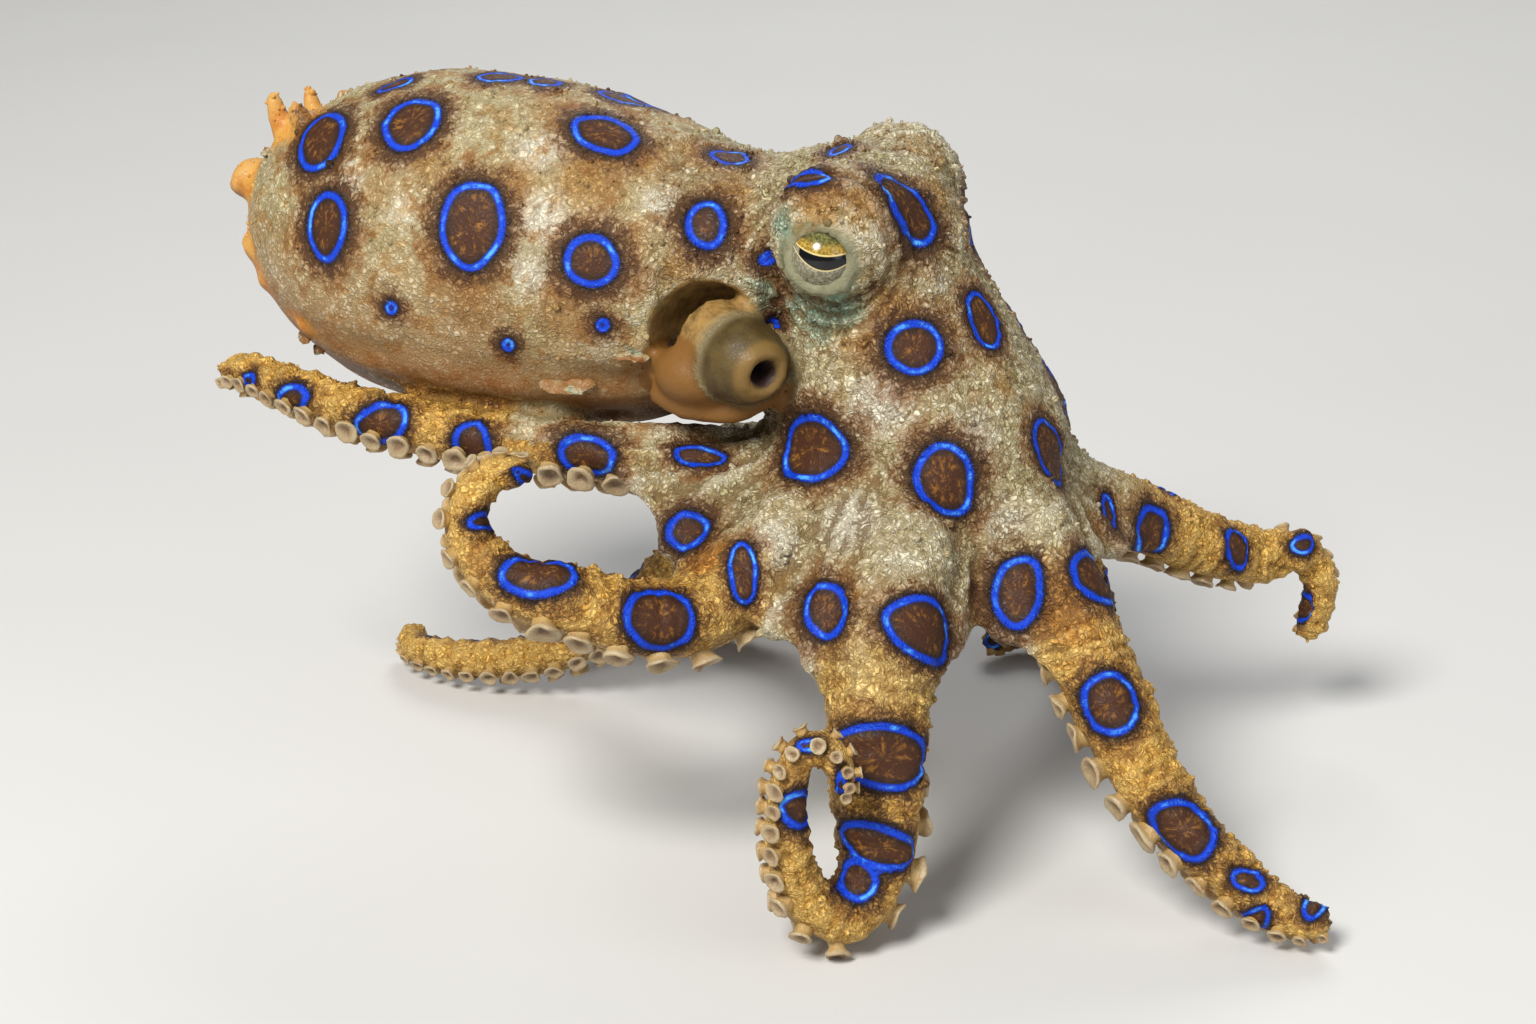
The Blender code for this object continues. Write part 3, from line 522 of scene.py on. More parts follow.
# A turn is the arm's place in the ring of roots, in degrees. Its widths are half widths, from the
# end of its web to its tip. Its twist starts and ends at shares of its length. A web ends at a
# distance down the arm, and is joined to it at an angle from its back.
ARMS = {
    "r1": {
        "turn": -43.5,
        "route": ((19.6, -0.8, 24.0), (22.0, -4.0, 18.6), (24.0, -6.7, 14.5), (26.3, -9.3, 10.5),
                  (29.6, -11.9, 6.6), (33.8, -14.1, 3.4), (38.5, -15.9, 1.9)),
        "widths": (3.3, 2.8, 2.2, 1.5), "twist": (0.3, 0.8, -18),
        "webs": {"r2": (20.0, 90), "l1": (16.5, 90)},
    },
    "r2": {
        "turn": -88.5,
        "route": ((9.9, -3.6, 25.6), (8.3, -8.2, 21.0), (7.5, -11.4, 15.4), (7.4, -13.1, 9.6),
                  (7.3, -14.0, 5.9), (5.4, -15.2, 2.8), (2.6, -16.4, 4.5), (1.5, -17.0, 8.2),
                  (1.3, -17.4, 11.6), (1.6, -17.7, 14.9), (3.1, -18.0, 16.5), (4.8, -18.2, 15.2),
                  (4.9, -18.2, 12.8)),
        "widths": (3.6, 2.6, 1.75, 1.0), "twist": (0.33, 0.6, 60),
        "webs": {"r3": (21.0, 90), "r1": (19.0, 90)},
    },
    "r3": {
        "turn": -133.5,
        "route": ((0.8, -0.6, 25.0), (-4.4, -4.6, 21.0), (-9.0, -7.0, 21.2), (-13.6, -8.0, 23.0),
                  (-17.6, -7.8, 24.2), (-20.4, -6.6, 26.9), (-20.3, -5.4, 29.4), (-18.6, -4.8, 30.9),
                  (-16.0, -4.6, 31.0)),
        "widths": (3.3, 2.9, 2.0, 1.3), "twist": (0.15, 0.6, 20),
        "webs": {"r2": (15.0, 100), "r4": (18.0, 90)},
    },
    "r4": {
        "turn": 181.5,
        "route": ((-1.0, 9.0, 27.2), (-7.6, 8.6, 27.5), (-13.8, 9.4, 27.9), (-21.2, 11.3, 28.1),
                  (-28.1, 13.6, 28.7), (-34.4, 17.0, 29.6), (-39.2, 20.6, 30.3), (-41.5, 22.8, 29.2)),
        "widths": (2.7, 2.5, 2.1, 1.5), "twist": (0.1, 0.5, 20),
        "webs": {"r3": (18.0, 90), "l4": (15.0, 90)},
    },
    "l4": {
        "turn": 136.5,
        "route": ((2.4, 18.2, 24.8), (-2.0, 22.4, 18.8), (-6.8, 25.8, 12.6), (-12.0, 28.0, 6.9),
                  (-17.8, 29.2, 3.7), (-23.8, 30.2, 2.7), (-28.6, 33.0, 2.4), (-30.0, 37.8, 2.1)),
        "widths": (2.9, 2.5, 1.9, 1.2), "twist": (0.1, 0.5, 0),
        "webs": {"r4": (15.0, 90), "l3": (17.0, 90)},
    },
    "l3": {
        "turn": 91.5,
        "route": ((10.6, 20.2, 24.6), (9.6, 25.8, 18.6), (7.4, 31.6, 12.2), (4.0, 36.6, 6.6),
                  (-1.0, 40.2, 3.7), (-7.2, 41.8, 2.7), (-12.8, 40.2, 2.4), (-16.2, 36.2, 2.1)),
        "widths": (2.9, 2.5, 1.9, 1.2), "twist": (0.1, 0.5, 0),
        "webs": {"l4": (17.0, 90), "l2": (17.0, 90)},
    },
    "l2": {
        "turn": 46.5,
        "route": ((18.6, 17.4, 24.6), (21.4, 21.6, 18.8), (23.8, 25.8, 12.8), (25.8, 29.8, 7.2),
                  (26.4, 34.0, 3.8), (24.6, 37.6, 2.6), (20.8, 38.0, 2.2), (18.2, 35.2, 1.9)),
        "widths": (2.9, 2.5, 1.9, 1.2), "twist": (0.1, 0.5, 0),
        "webs": {"l3": (17.0, 90), "l1": (15.0, 90)},
    },
    "l1": {
        "turn": 1.5,
        "route": ((21.4, 11.0, 25.4), (25.0, 12.8, 22.6), (29.4, 15.0, 20.0), (34.6, 17.6, 17.1),
                  (38.4, 19.4, 15.7), (41.2, 20.2, 15.7), (42.9, 20.8, 13.5), (43.0, 21.4, 10.4),
                  (42.0, 22.0, 7.6)),
        "widths": (3.0, 2.5, 1.5, 1.2), "twist": (0.58, 0.8, 90),
        "webs": {"l2": (15.0, 90), "r1": (16.0, 90)},
    },
}
ORDER = ("r1", "r2", "r3", "r4", "l4", "l3", "l2", "l1")
# How far down each of its two arms a web is open, and the middle of its edge where that shows.
WEBS = {
    ("r1", "r2"): (12.5, 13.0, (14.8, -4.2, 19.3)),
    ("r2", "r3"): (13.5, 10.5, (-0.6, -6.4, 20.2)),
    ("r3", "r4"): (13.0, 12.0, (-8.0, 2.4, 24.6)),
    ("r4", "l4"): (10.0, 10.0, None),
    ("l4", "l3"): (11.0, 11.0, None),
    ("l3", "l2"): (11.0, 11.0, None),
    ("l2", "l1"): (10.0, 10.0, None),
    ("l1", "r1"): (11.0, 11.5, (22.0, 3.0, 21.6)),
}


def radial(turn):
    return Vector((math.cos(math.radians(turn)), math.sin(math.radians(turn)), 0.0))


class Arm:
    """An arm's centreline, with the direction of its suckers carried along it."""

    def __init__(self, name):
        facts = ARMS[name]
        self.name = name
        self.turn = facts["turn"]
        self.widths = facts["widths"]
        self.rounding = self.widths[3] * 1.3
        self.webs = facts["webs"]
        self.base = max(end for end, _ in self.webs.values())
        root = ROOT_CENTRE + radial(self.turn) * ROOT_REACH - UP * ROOT_SINK
        route = [Vector(point) for point in facts["route"]]
        below = root.lerp(route[0], 0.4) - UP * ROOT_DIP
        self.points = smooth_route([root, below, *route])
        self.at = [0.0]
        for a, b in zip(self.points, self.points[1:]):
            self.at.append(self.at[-1] + (b - a).length)
        self.length = self.at[-1]
        self.carry(facts["twist"])

    def carry(self, twist):
        start, end, degrees = twist
        self.tangents = []
        for i in range(len(self.points)):
            a = self.points[max(0, i - 1)]
            b = self.points[min(len(self.points) - 1, i + 1)]
            self.tangents.append((b - a).normalized())
        self.tangents[0] = -UP
        oral = -radial(self.turn)
        self.orals = []
        for i, tangent in enumerate(self.tangents):
            oral = (oral - tangent * oral.dot(tangent)).normalized()
            angle = math.radians(degrees) * smoothstep(self.at[i] / self.length, start, end)
            self.orals.append(Matrix.Rotation(angle, 3, tangent) @ oral)

    def frame(self, distance):
        """Centre, tangent, sucker direction and sideways direction at a distance from the root."""
        distance = min(max(distance, 0.0), self.length)
        i = next((n for n in range(len(self.at) - 1) if self.at[n + 1] >= distance), len(self.at) - 2)
        share = (distance - self.at[i]) / (self.at[i + 1] - self.at[i])
        centre = self.points[i].lerp(self.points[i + 1], share)
        tangent = self.tangents[i].lerp(self.tangents[i + 1], share).normalized()
        oral = self.orals[i].lerp(self.orals[i + 1], share)
        oral = (oral - tangent * oral.dot(tangent)).normalized()
        return centre, tangent, oral, tangent.cross(oral)

    def half_width(self, distance):
        if distance < self.base:
            return ROOT_HALF + (self.widths[0] - ROOT_HALF) * smoothstep(distance, 0.0, 12.0)
        place = 3 * min(1.0, (distance - self.base) / (self.length - self.base))
        i = min(2, int(place))
        width = self.widths[i] + (self.widths[i + 1] - self.widths[i]) * (place - i)
        left = self.length - distance
        if left < self.rounding:
            width *= math.sqrt(max(0.03, 1 - (1 - left / self.rounding) ** 2))
        return width

    def point(self, distance, degrees, scale=1.0):
        """A point of the skin, turned in degrees from the back of the arm."""
        centre, _, oral, side = self.frame(distance)
        width = self.half_width(distance) * scale
        angle = math.radians(degrees)
        return centre + side * width * math.sin(angle) - oral * width * ARM_FLATNESS * math.cos(angle)

    def side_of(self, other):
        """Whether a neighbour is on the +side (1) or the -side (-1)."""
        centre, _, _, side = self.frame(0)
        return 1 if (other.frame(0)[0] - centre).dot(side) > 0 else -1


def arm_tube(arm):
    """The whole arm, from inside the crown to its rounded tip."""
    last = arm.length - arm.rounding
    count = round(last / ARM_STEP)
    stations = [max(0.4, last * i / count) for i in range(count + 1)]
    stations += [arm.length - arm.rounding * share for share in TIP_SHARES]
    turns = [360 * i / ARM_SIDES for i in range(ARM_SIDES)]
    return loft([[arm.point(station, turn) for turn in turns] for station in stations])


# %% [markdown]
# A web is lofted in two halves, each from inside its arm out to the line midway between the two
# arms. Past the lowest point of its edge the sheet narrows to a ridge that runs on down the arm.

# %% Webs
WEB_STEPS = 8
WEB_OVERLAP = 0.15
WEB_BEND = 0.45
ROOT_TURN = 42


def web_facts(arm, other):
    """A web's row, with the number of the first arm first."""
    if (arm.name, other.name) in WEBS:
        return WEBS[arm.name, other.name]
    there, here, middle = WEBS[other.name, arm.name]
    return here, there, middle


def inward(arm, other, here, there):
    """Direction from the outside of the web to its inside, at a distance down each of its two arms."""
    across = (arm.point(here, 0) - other.point(there, 0)).normalized()
    both = arm.frame(here)[2] + other.frame(there)[2]
    return (both - across * both.dot(across)).normalized()


def web_line(arm, other, share):
    """Outer and inner line of the middle of a web: from the root ring (0) to the web's edge (1)."""
    here, there, known = web_facts(arm, other)
    a = arm.point(share * here, 0)
    b = other.point(share * there, 0)
    inside = inward(arm, other, share * here, share * there)
    bulge = ROOT_BULGE + (EDGE_BULGE - ROOT_BULGE) * share
    outer = (a + b) / 2 - inside * bulge * (a - b).length
    if known:
        edge = (arm.point(here, 0) + other.point(there, 0)) / 2
        outer = outer + (Vector(known) - edge) * smoothstep(share, 0.0, 1.0)
    return outer, outer + inside * WEB_THICK


def curved(start, middle, end, share):
    """A point of the curve from start to end that bends toward middle."""
    left = 1 - share
    return start * left**2 + middle * 2 * share * left + end * share * share


def half_web(arm, other):
    """The half of a web that belongs to an arm: from inside the arm out to the middle of the web."""
    side = arm.side_of(other)
    middle_at = web_facts(arm, other)[0]
    end_at, attach = arm.webs[other.name]
    bend_at = middle_at + (end_at - middle_at) * WEB_BEND
    bearing = (radial(arm.turn) + radial(other.turn)).normalized()
    inside = (radial(arm.turn) * 3 + radial(other.turn)).normalized()
    overlap = (other.frame(0)[0] - arm.frame(0)[0]).normalized() * WEB_OVERLAP
    top = ROOT_CENTRE - UP * 0.2
    sections = [[top + inside * 10.2, top + bearing * 10.8 + overlap, top + bearing * 9.0 + overlap,
                 top + inside * 6.6]]
    stations = [middle_at * (i + 1) / WEB_STEPS for i in range(1, WEB_STEPS)]
    stations += [middle_at + (end_at - middle_at) * (i + 1) / WEB_STEPS for i in range(WEB_STEPS)]
    for distance in stations:
        if distance <= middle_at:
            outer, inner = web_line(arm, other, distance / middle_at)
        else:
            past = (distance - middle_at) / (end_at - middle_at)
            outer, inner = web_line(arm, other, 1.0)
            outer = curved(outer, arm.point(bend_at, (attach - 6) * side),
                           arm.point(end_at, (attach - 10) * side, 0.96), past)
            inner = curved(inner, arm.point(bend_at, (attach + 16) * side),
                           arm.point(end_at, (attach + 10) * side, 0.96), past)
        sections.append([arm.point(distance, (attach - ROOT_TURN) * side, 0.8), outer + overlap,
                         inner + overlap, arm.point(distance, (attach + ROOT_TURN) * side, 0.8)])
    mesh = loft(sections)
    bmesh.ops.triangulate(mesh, faces=mesh.faces, quad_method="SHORT_EDGE")
    return mesh


def crown_block():
    """The solid crown between the head, the mouth and the roots of the arms."""
    return stack([(ROOT_CENTRE - UP * drop, radius) for drop, radius in CROWN_RINGS])


arms = {name: Arm(name) for name in ORDER}
print("arm lengths in mm:", {name: round(arm.length, 1) for name, arm in arms.items()})

# %% [markdown]
# ## One skin over the flesh
# All these forms overlap, and a live animal has no seams between them. A voxel remesh wraps them in
# one even mesh, as a sculptor would fuse clay. A few rounds of smoothing then blend the joints,
# more of them where the neck, mounds and arms meet the head than on the fine tips.

# %% Fuse the forms
VOXEL = 0.4
SOFT_ROUNDS = 3
# Each row is a place, how far round it the flesh is softened, and how many rounds.
JOINT_PLACES = (
    ((-4.0, 15.0, 50.0), 9.0, 60), ((-4.5, 24.0, 44.0), 8.0, 60), ((-7.0, 8.0, 47.5), 5.5, 60),
    ((11.2, 9.8, 30.0), 14.5, 60), ((7.3, 11.3, 46.0), 9.5, 16),
)
KEEP_PLACES = ((eye_centre(-1), 2.7), (eye_centre(1), 2.7), (POCKET_CENTRE, 6.4), (FUNNEL_MIDDLE, 4.6))


def fused(meshes):
    """One bmesh round everything, made with a voxel remesh."""
    together = bmesh.new()
    for mesh in meshes:
        piece = bpy.data.meshes.new("piece")
        mesh.to_mesh(piece)
        mesh.free()
        together.from_mesh(piece)
        bpy.data.meshes.remove(piece)
    rough = object_of(together, "rough")
    remesh = rough.modifiers.new("fuse", "REMESH")
    remesh.mode = "VOXEL"
    remesh.voxel_size = VOXEL
    remesh.use_smooth_shade = True
    mesh = bmesh.new()
    mesh.from_object(rough, bpy.context.evaluated_depsgraph_get())
    bpy.data.objects.remove(rough)
    return mesh


def keep_largest(mesh):
    """Deletes every closed surface but the largest, and says how many there were."""
    unseen = set(mesh.verts)
    shells = []
    while unseen:
        shell = set()
        to_search = [unseen.pop()]
        while to_search:
            corner = to_search.pop()
            shell.add(corner)
            for edge in corner.link_edges:
                other = edge.other_vert(corner)
                if other in unseen:
                    unseen.discard(other)
                    to_search.append(other)
        shells.append(shell)
    shells.sort(key=len)
    loose = [corner for shell in shells[:-1] for corner in shell]
    bmesh.ops.delete(mesh, geom=loose, context="VERTS")
    return len(shells)


def soften(mesh, corners, rounds):
    for _ in range(rounds):
        bmesh.ops.smooth_vert(mesh, verts=corners, factor=0.5, use_axis_x=True, use_axis_y=True,
                              use_axis_z=True)


def smooth_flesh(mesh):
    free = [corner for corner in mesh.verts
            if all((corner.co - at).length > reach for at, reach in KEEP_PLACES)]
    for at, reach, rounds in JOINT_PLACES:
        soften(mesh, [corner for corner in free if (corner.co - Vector(at)).length < reach], rounds)
    soften(mesh, mesh.verts, SOFT_ROUNDS)


forms = [with_pockets(form) for form in (mantle(), neck(), head_body())]
forms += [crown_block(), funnel(), hem(), ball(COLLAR_CENTRE, COLLAR_RADII)]
forms += [mesh for facts in PAPILLAE for mesh in papilla_pair(facts)]
for eye_side in (-1, 1):
    forms.append(ball(EYE_MIDDLE + LEFT * eye_side * EYE_SPREAD, (EYE_MOUND,) * 3))
    forms.append(ball(EYE_MIDDLE + LEFT * eye_side * (EYE_SPREAD - FOOT_IN) - UP * FOOT_DROP,
                      (MOUND_FOOT,) * 3))
    forms.append(lid(eye_side))
for place, arm_name in enumerate(ORDER):
    forms.append(arm_tube(arms[arm_name]))
    for neighbour in (ORDER[place - 1], ORDER[(place + 1) % len(ORDER)]):
        forms.append(half_web(arms[arm_name], arms[neighbour]))
flesh = fused(forms)
shell_count = keep_largest(flesh)
smooth_flesh(flesh)
print("skin:", len(flesh.faces), "faces,", shell_count, "shells before the largest was kept")

# %% [markdown]
# ## Where a point is on the body
# The relief and the paint both need to know what part of the body a point belongs to. Each answer
# is an array with one number for every point, worked out once from the bare form.

# %% Fields over the skin
FLOOR_FLAT = 0.02
EYE_DEPTH = 2.4
SAMPLE_STEP = 0.5
ARM_EDGE = (1.15, 1.6)
ORAL_EDGE = (0.1, 0.75)
MANTLE_EDGE = (0.94, 1.04)
MANTLE_FLOOR = 26.0
UNDER_EDGE = (0.1, 0.7)
HEM_EDGE = (HEM_RADIUS + 0.2, HEM_RADIUS + 0.9)
POCKET_EDGE = (0.98, 1.03)
POCKET_RIM_EDGE = (1.08, 1.2)
TAG_EDGE = (1.6, 2.8)
FUNNEL_EDGE = (3.3, 3.7)
HOLE_EDGE = (0.95, 1.2)
COLLAR_EDGE = (1.2, 1.55)


def points_of(mesh):
    mesh.normal_update()
    mesh.verts.index_update()
    co = np.array([corner.co for corner in mesh.verts])
    normal = np.array([corner.normal for corner in mesh.verts])
    return co, normal


def eased(values, low, high):
    """Smoothstep over an array."""
    share = np.clip((values - low) / (high - low), 0.0, 1.0)
    return share * share * (3 - 2 * share)


def away_from(co, place):
    return np.linalg.norm(co - np.array(place), axis=1)


def away_from_any(co, places):
    """How far each point is from the nearest of some places."""
    return np.min([away_from(co, place) for place in places], axis=0)


def noise_over(co, size, seed=0.0):
    """Perlin noise from -1 to 1 whose lumps are about size millimetres across."""
    shift = Vector((seed, seed * 1.7, -seed))
    return np.array([noise.noise(Vector(point) / size + shift) for point in co])


def beads_over(co, size, seed=0.0):
    """Rounded beads: 1 in the middle of each and 0 between them."""
    shift = Vector((seed, -seed, seed * 2.3))
    near = np.array([noise.voronoi(Vector(point) / size + shift)[0][:2] for point in co])
    return eased(near[:, 1] - near[:, 0], 0.0, 0.5)


def inside_ball(co, centre, radii):
    """How far out each point is in an ellipsoid along HEADING, LEFT and UP, which is 1 at its skin."""
    off = (co - np.array(centre)) @ np.array((HEADING, LEFT, UP)).T / np.array(radii)
    return np.linalg.norm(off, axis=1)


class Places:
    """Where each point of the skin is on the body, as shares from 0 to 1."""

    def __init__(self, co, normal):
        self.find_arms(co, normal)
        self.find_mantle(co, normal)
        self.find_funnel(co)
        self.eye_away = away_from_any(co, [eye_centre(-1), eye_centre(1)])

    def find_arms(self, co, normal):
        """The nearest arm, how far along it a point is, and whether it faces the suckers."""
        tree = KDTree(2000)
        samples = []
        for arm in arms.values():
            for i in range(int(arm.length / SAMPLE_STEP) + 1):
                distance = i * SAMPLE_STEP
                centre, _, oral, _ = arm.frame(distance)
                tree.insert(centre, len(samples))
                samples.append((distance / arm.length, distance, arm.half_width(distance), *oral))
        tree.balance()
        found = [tree.find(Vector(point)) for point in co]
        near = np.array([samples[index] for _, index, _ in found])
        self.along, self.reach = near[:, 0], near[:, 1]
        arm_away = np.array([away for _, _, away in found]) / near[:, 2]
        below = np.maximum(co[:, 2] < ROOT_LEVEL - 1.0, eased(self.reach, 20.0, 24.0))
        self.arm = (1 - eased(arm_away, *ARM_EDGE)) * below
        self.oral = eased(np.sum(near[:, 3:] * normal, axis=1), *ORAL_EDGE) * below

    def find_mantle(self, co, normal):
        """The mantle, its underside with the hem, its pocket, and the tags round its apex."""
        off = co - np.array(MANTLE_APEX)
        self.axis_share = off @ np.array(HEADING) / MANTLE_LENGTH
        beside = off @ np.array(LEFT)
        above = co[:, 2] - MANTLE_APEX.z + MANTLE_SINK * self.axis_share
        self.mantle_turn = np.arctan2(above, beside)
        low = np.maximum(co[:, 2] < ROOT_LEVEL, self.reach > 22.0)
        self.mantle = (1 - eased(self.axis_share, *MANTLE_EDGE)) * (1 - self.arm * low)
        self.mantle *= co[:, 2] > MANTLE_FLOOR
        self.mantle *= np.hypot(beside / MANTLE_WIDTH, above / MANTLE_HEIGHT) < 1.35
        self.hem = 1 - eased(away_from_any(co, smooth_route([Vector(point) for point in HEM], 4)), *HEM_EDGE)
        self.under = np.maximum(self.mantle * eased(-normal[:, 2], *UNDER_EDGE), self.hem)
        away = inside_ball(co, POCKET_CENTRE, POCKET_RADII)
        self.pocket = (away < 1.04).astype(float)
        self.pocket_rim = eased(away, *POCKET_EDGE) * (1 - eased(away, *POCKET_RIM_EDGE)) * self.mantle
        ends = [Vector(end) for facts in PAPILLAE for end in facts[1:3]]
        self.tag = 1 - eased(away_from_any(co, ends + [mirrored(end) for end in ends]), *TAG_EDGE)

    def find_funnel(self, co):
        """The funnel, its rim, the hole in it, and the collar it comes out of."""
        off = co - np.array(FUNNEL_MIDDLE)
        reach = off @ np.array(FUNNEL_WAY)
        from_axis = np.linalg.norm(off - reach[:, None] * np.array(FUNNEL_WAY), axis=1)
        self.funnel = (1 - eased(from_axis, *FUNNEL_EDGE)) * eased(reach, -2.6, -0.6)
        self.funnel_rim = eased(reach, FUNNEL_RIM - 0.75, FUNNEL_RIM - 0.2)
        self.funnel_rim *= 1 - eased(from_axis, 2.2, 2.5)
        self.funnel_hole = (1 - eased(from_axis, *HOLE_EDGE)) * eased(reach, -2.0, -1.0)
        self.collar = 1 - eased(inside_ball(co, COLLAR_CENTRE, COLLAR_RADII), *COLLAR_EDGE)


skin_co, skin_normal = points_of(flesh)
at = Places(skin_co, skin_normal)
skin_tree = BVHTree.FromBMesh(flesh)

# %% [markdown]
# ## Rings
# The blue rings warn predators off. Each is a closed line about 0.6 mm wide round a brown middle,
# with a dark edge outside it. They could be painted from a picture, but a picture seen from one
# side smears round a curved body. Here each ring is a centre on the skin and an ellipse in the
# plane that touches it there, and every point of the skin nearby stores how far it is from the
# ring's line. The centres are found by sending a ray through a pixel of the photograph.

# %% Rings that the photograph shows
# Each row is the pixel of the centre, then in millimetres as seen the width and height over the
# line's outer edge, and how many degrees the ring is turned clockwise.
MANTLE_RINGS = (
    (320, 139, 3.8, 5.0, 28), (411, 122, 3.9, 4.9, 48), (605, 133, 5.1, 3.1, 20), (326, 227, 3.5, 5.2, 6),
    (472, 225, 4.9, 6.6, 6), (591, 261, 4.1, 3.9, 0), (706, 224, 3.1, 3.7, -15), (395, 85, 3.2, 1.2, -16),
    (500, 77, 3.8, 1.1, 0), (545, 83, 2.8, 1.0, 8), (625, 99, 4.4, 1.2, 14), (730, 156, 3.2, 1.7, 12),
)
MANTLE_DOTS = (
    (391, 308, 0.75, 0.9, 0), (508, 345, 1.0, 0.6, 0), (603, 325, 0.5, 0.7, 0), (767, 259, 0.35, 0.8, 0),
)
HEAD_RINGS = (
    (805, 178, 3.5, 1.6, -8), (840, 148, 2.2, 1.0, -25), (908, 206, 2.6, 6.0, -32),
    (915, 347, 4.2, 4.1, 0), (984, 320, 2.3, 4.7, -22), (812, 449, 4.7, 5.0, 15),
    (945, 481, 4.4, 5.4, -6), (1052, 453, 2.4, 5.3, -17), (1071, 410, 0.9, 1.8, -20),
    (743, 571, 2.4, 4.7, -5), (826, 610, 3.4, 3.9, 0), (928, 630, 4.0, 6.0, -42),
    (1019, 592, 3.8, 5.2, 10), (1100, 577, 2.6, 4.6, -38), (688, 530, 3.4, 2.6, -35),
    (1108, 512, 0.9, 3.0, -10),
)
ARM_RINGS = (
    (661, 618, 4.7, 5.2, -30), (539, 573, 5.5, 3.0, 0), (486, 521, 2.1, 1.6, 0), (529, 481, 2.0, 1.4, 0),
    (884, 757, 7.4, 4.8, 10), (880, 848, 6.8, 3.2, 16), (857, 880, 3.0, 3.1, 0), (808, 745, 2.2, 1.3, 0),
    (803, 810, 2.7, 2.9, 0), (840, 793, 1.2, 1.8, 0), (1111, 703, 4.4, 4.6, 0), (1183, 830, 5.2, 4.2, 30),
    (1248, 880, 2.8, 1.9, 18), (1252, 922, 2.4, 2.0, 0), (1315, 905, 2.0, 1.8, -20),
    (1152, 535, 2.8, 4.7, 8), (1238, 548, 2.2, 3.6, -10), (1165, 486, 2.4, 1.2, 30),
    (1303, 545, 2.2, 1.8, 0), (1300, 605, 2.4, 3.0, 0), (993, 640, 1.8, 1.8, 0), (700, 456, 4.2, 1.8, 8),
    (587, 457, 4.4, 3.3, 12), (472, 449, 3.0, 4.2, -15), (379, 425, 4.6, 3.3, -20),
    (290, 402, 2.8, 2.6, 0), (249, 380, 1.6, 1.4, 0), (227, 399, 1.0, 1.5, 0), (267, 436, 0.9, 0.8, 0),
)
LINE_WIDTH = 0.62
THIN_LINE_WIDTH = 0.42
LEAST_RING = 0.35
THIN_BELOW = 2.6
LEAST_TILT = 0.35
RING_WAVES = (2, 3, 5)
RING_WAVE = 0.05
RING_REACH = 4.5
PLANE_REACH = 1.3
SLOPE_STEP = 0.05
LEAST_SLOPE = 0.12
FAR_SIDE = 6.0
FAR_AWAY = 9.0
SEED = 11


def skin_plane(place):
    """The skin's point nearest a place, with the average normal round it."""
    spot = skin_tree.find_nearest(place)[0]
    near = away_from(skin_co, spot) < PLANE_REACH
    return spot, Vector(skin_normal[near].mean(axis=0)).normalized()


def seen_through(across, down):
    """The point of the skin behind a pixel, or the nearest one to its ray."""
    ray = pixel_ray(across, down)
    hit = skin_tree.ray_cast(CAMERA_EYE, ray)[0]
    if hit is None:
        along = (skin_co - np.array(CAMERA_EYE)) @ np.array(ray)
        off = skin_co - np.array(CAMERA_EYE) - along[:, None] * np.array(ray)
        hit = Vector(skin_co[np.linalg.norm(off, axis=1).argmin()])
        print("beside the skin:", across, down)
    return hit


skin_neighbours = [[edge.other_vert(corner).index for edge in corner.link_edges] for corner in flesh.verts]


def patch(spot, reach):
    """Indices of the points that join up with a spot within a reach of it."""
    away = away_from(skin_co, spot)
    inside = away < reach
    to_search = [int(away.argmin())]
    found = set(to_search)
    while to_search:
        for other in skin_neighbours[to_search.pop()]:
            if inside[other] and other not in found:
                found.add(other)
                to_search.append(other)
    return np.array(sorted(found))


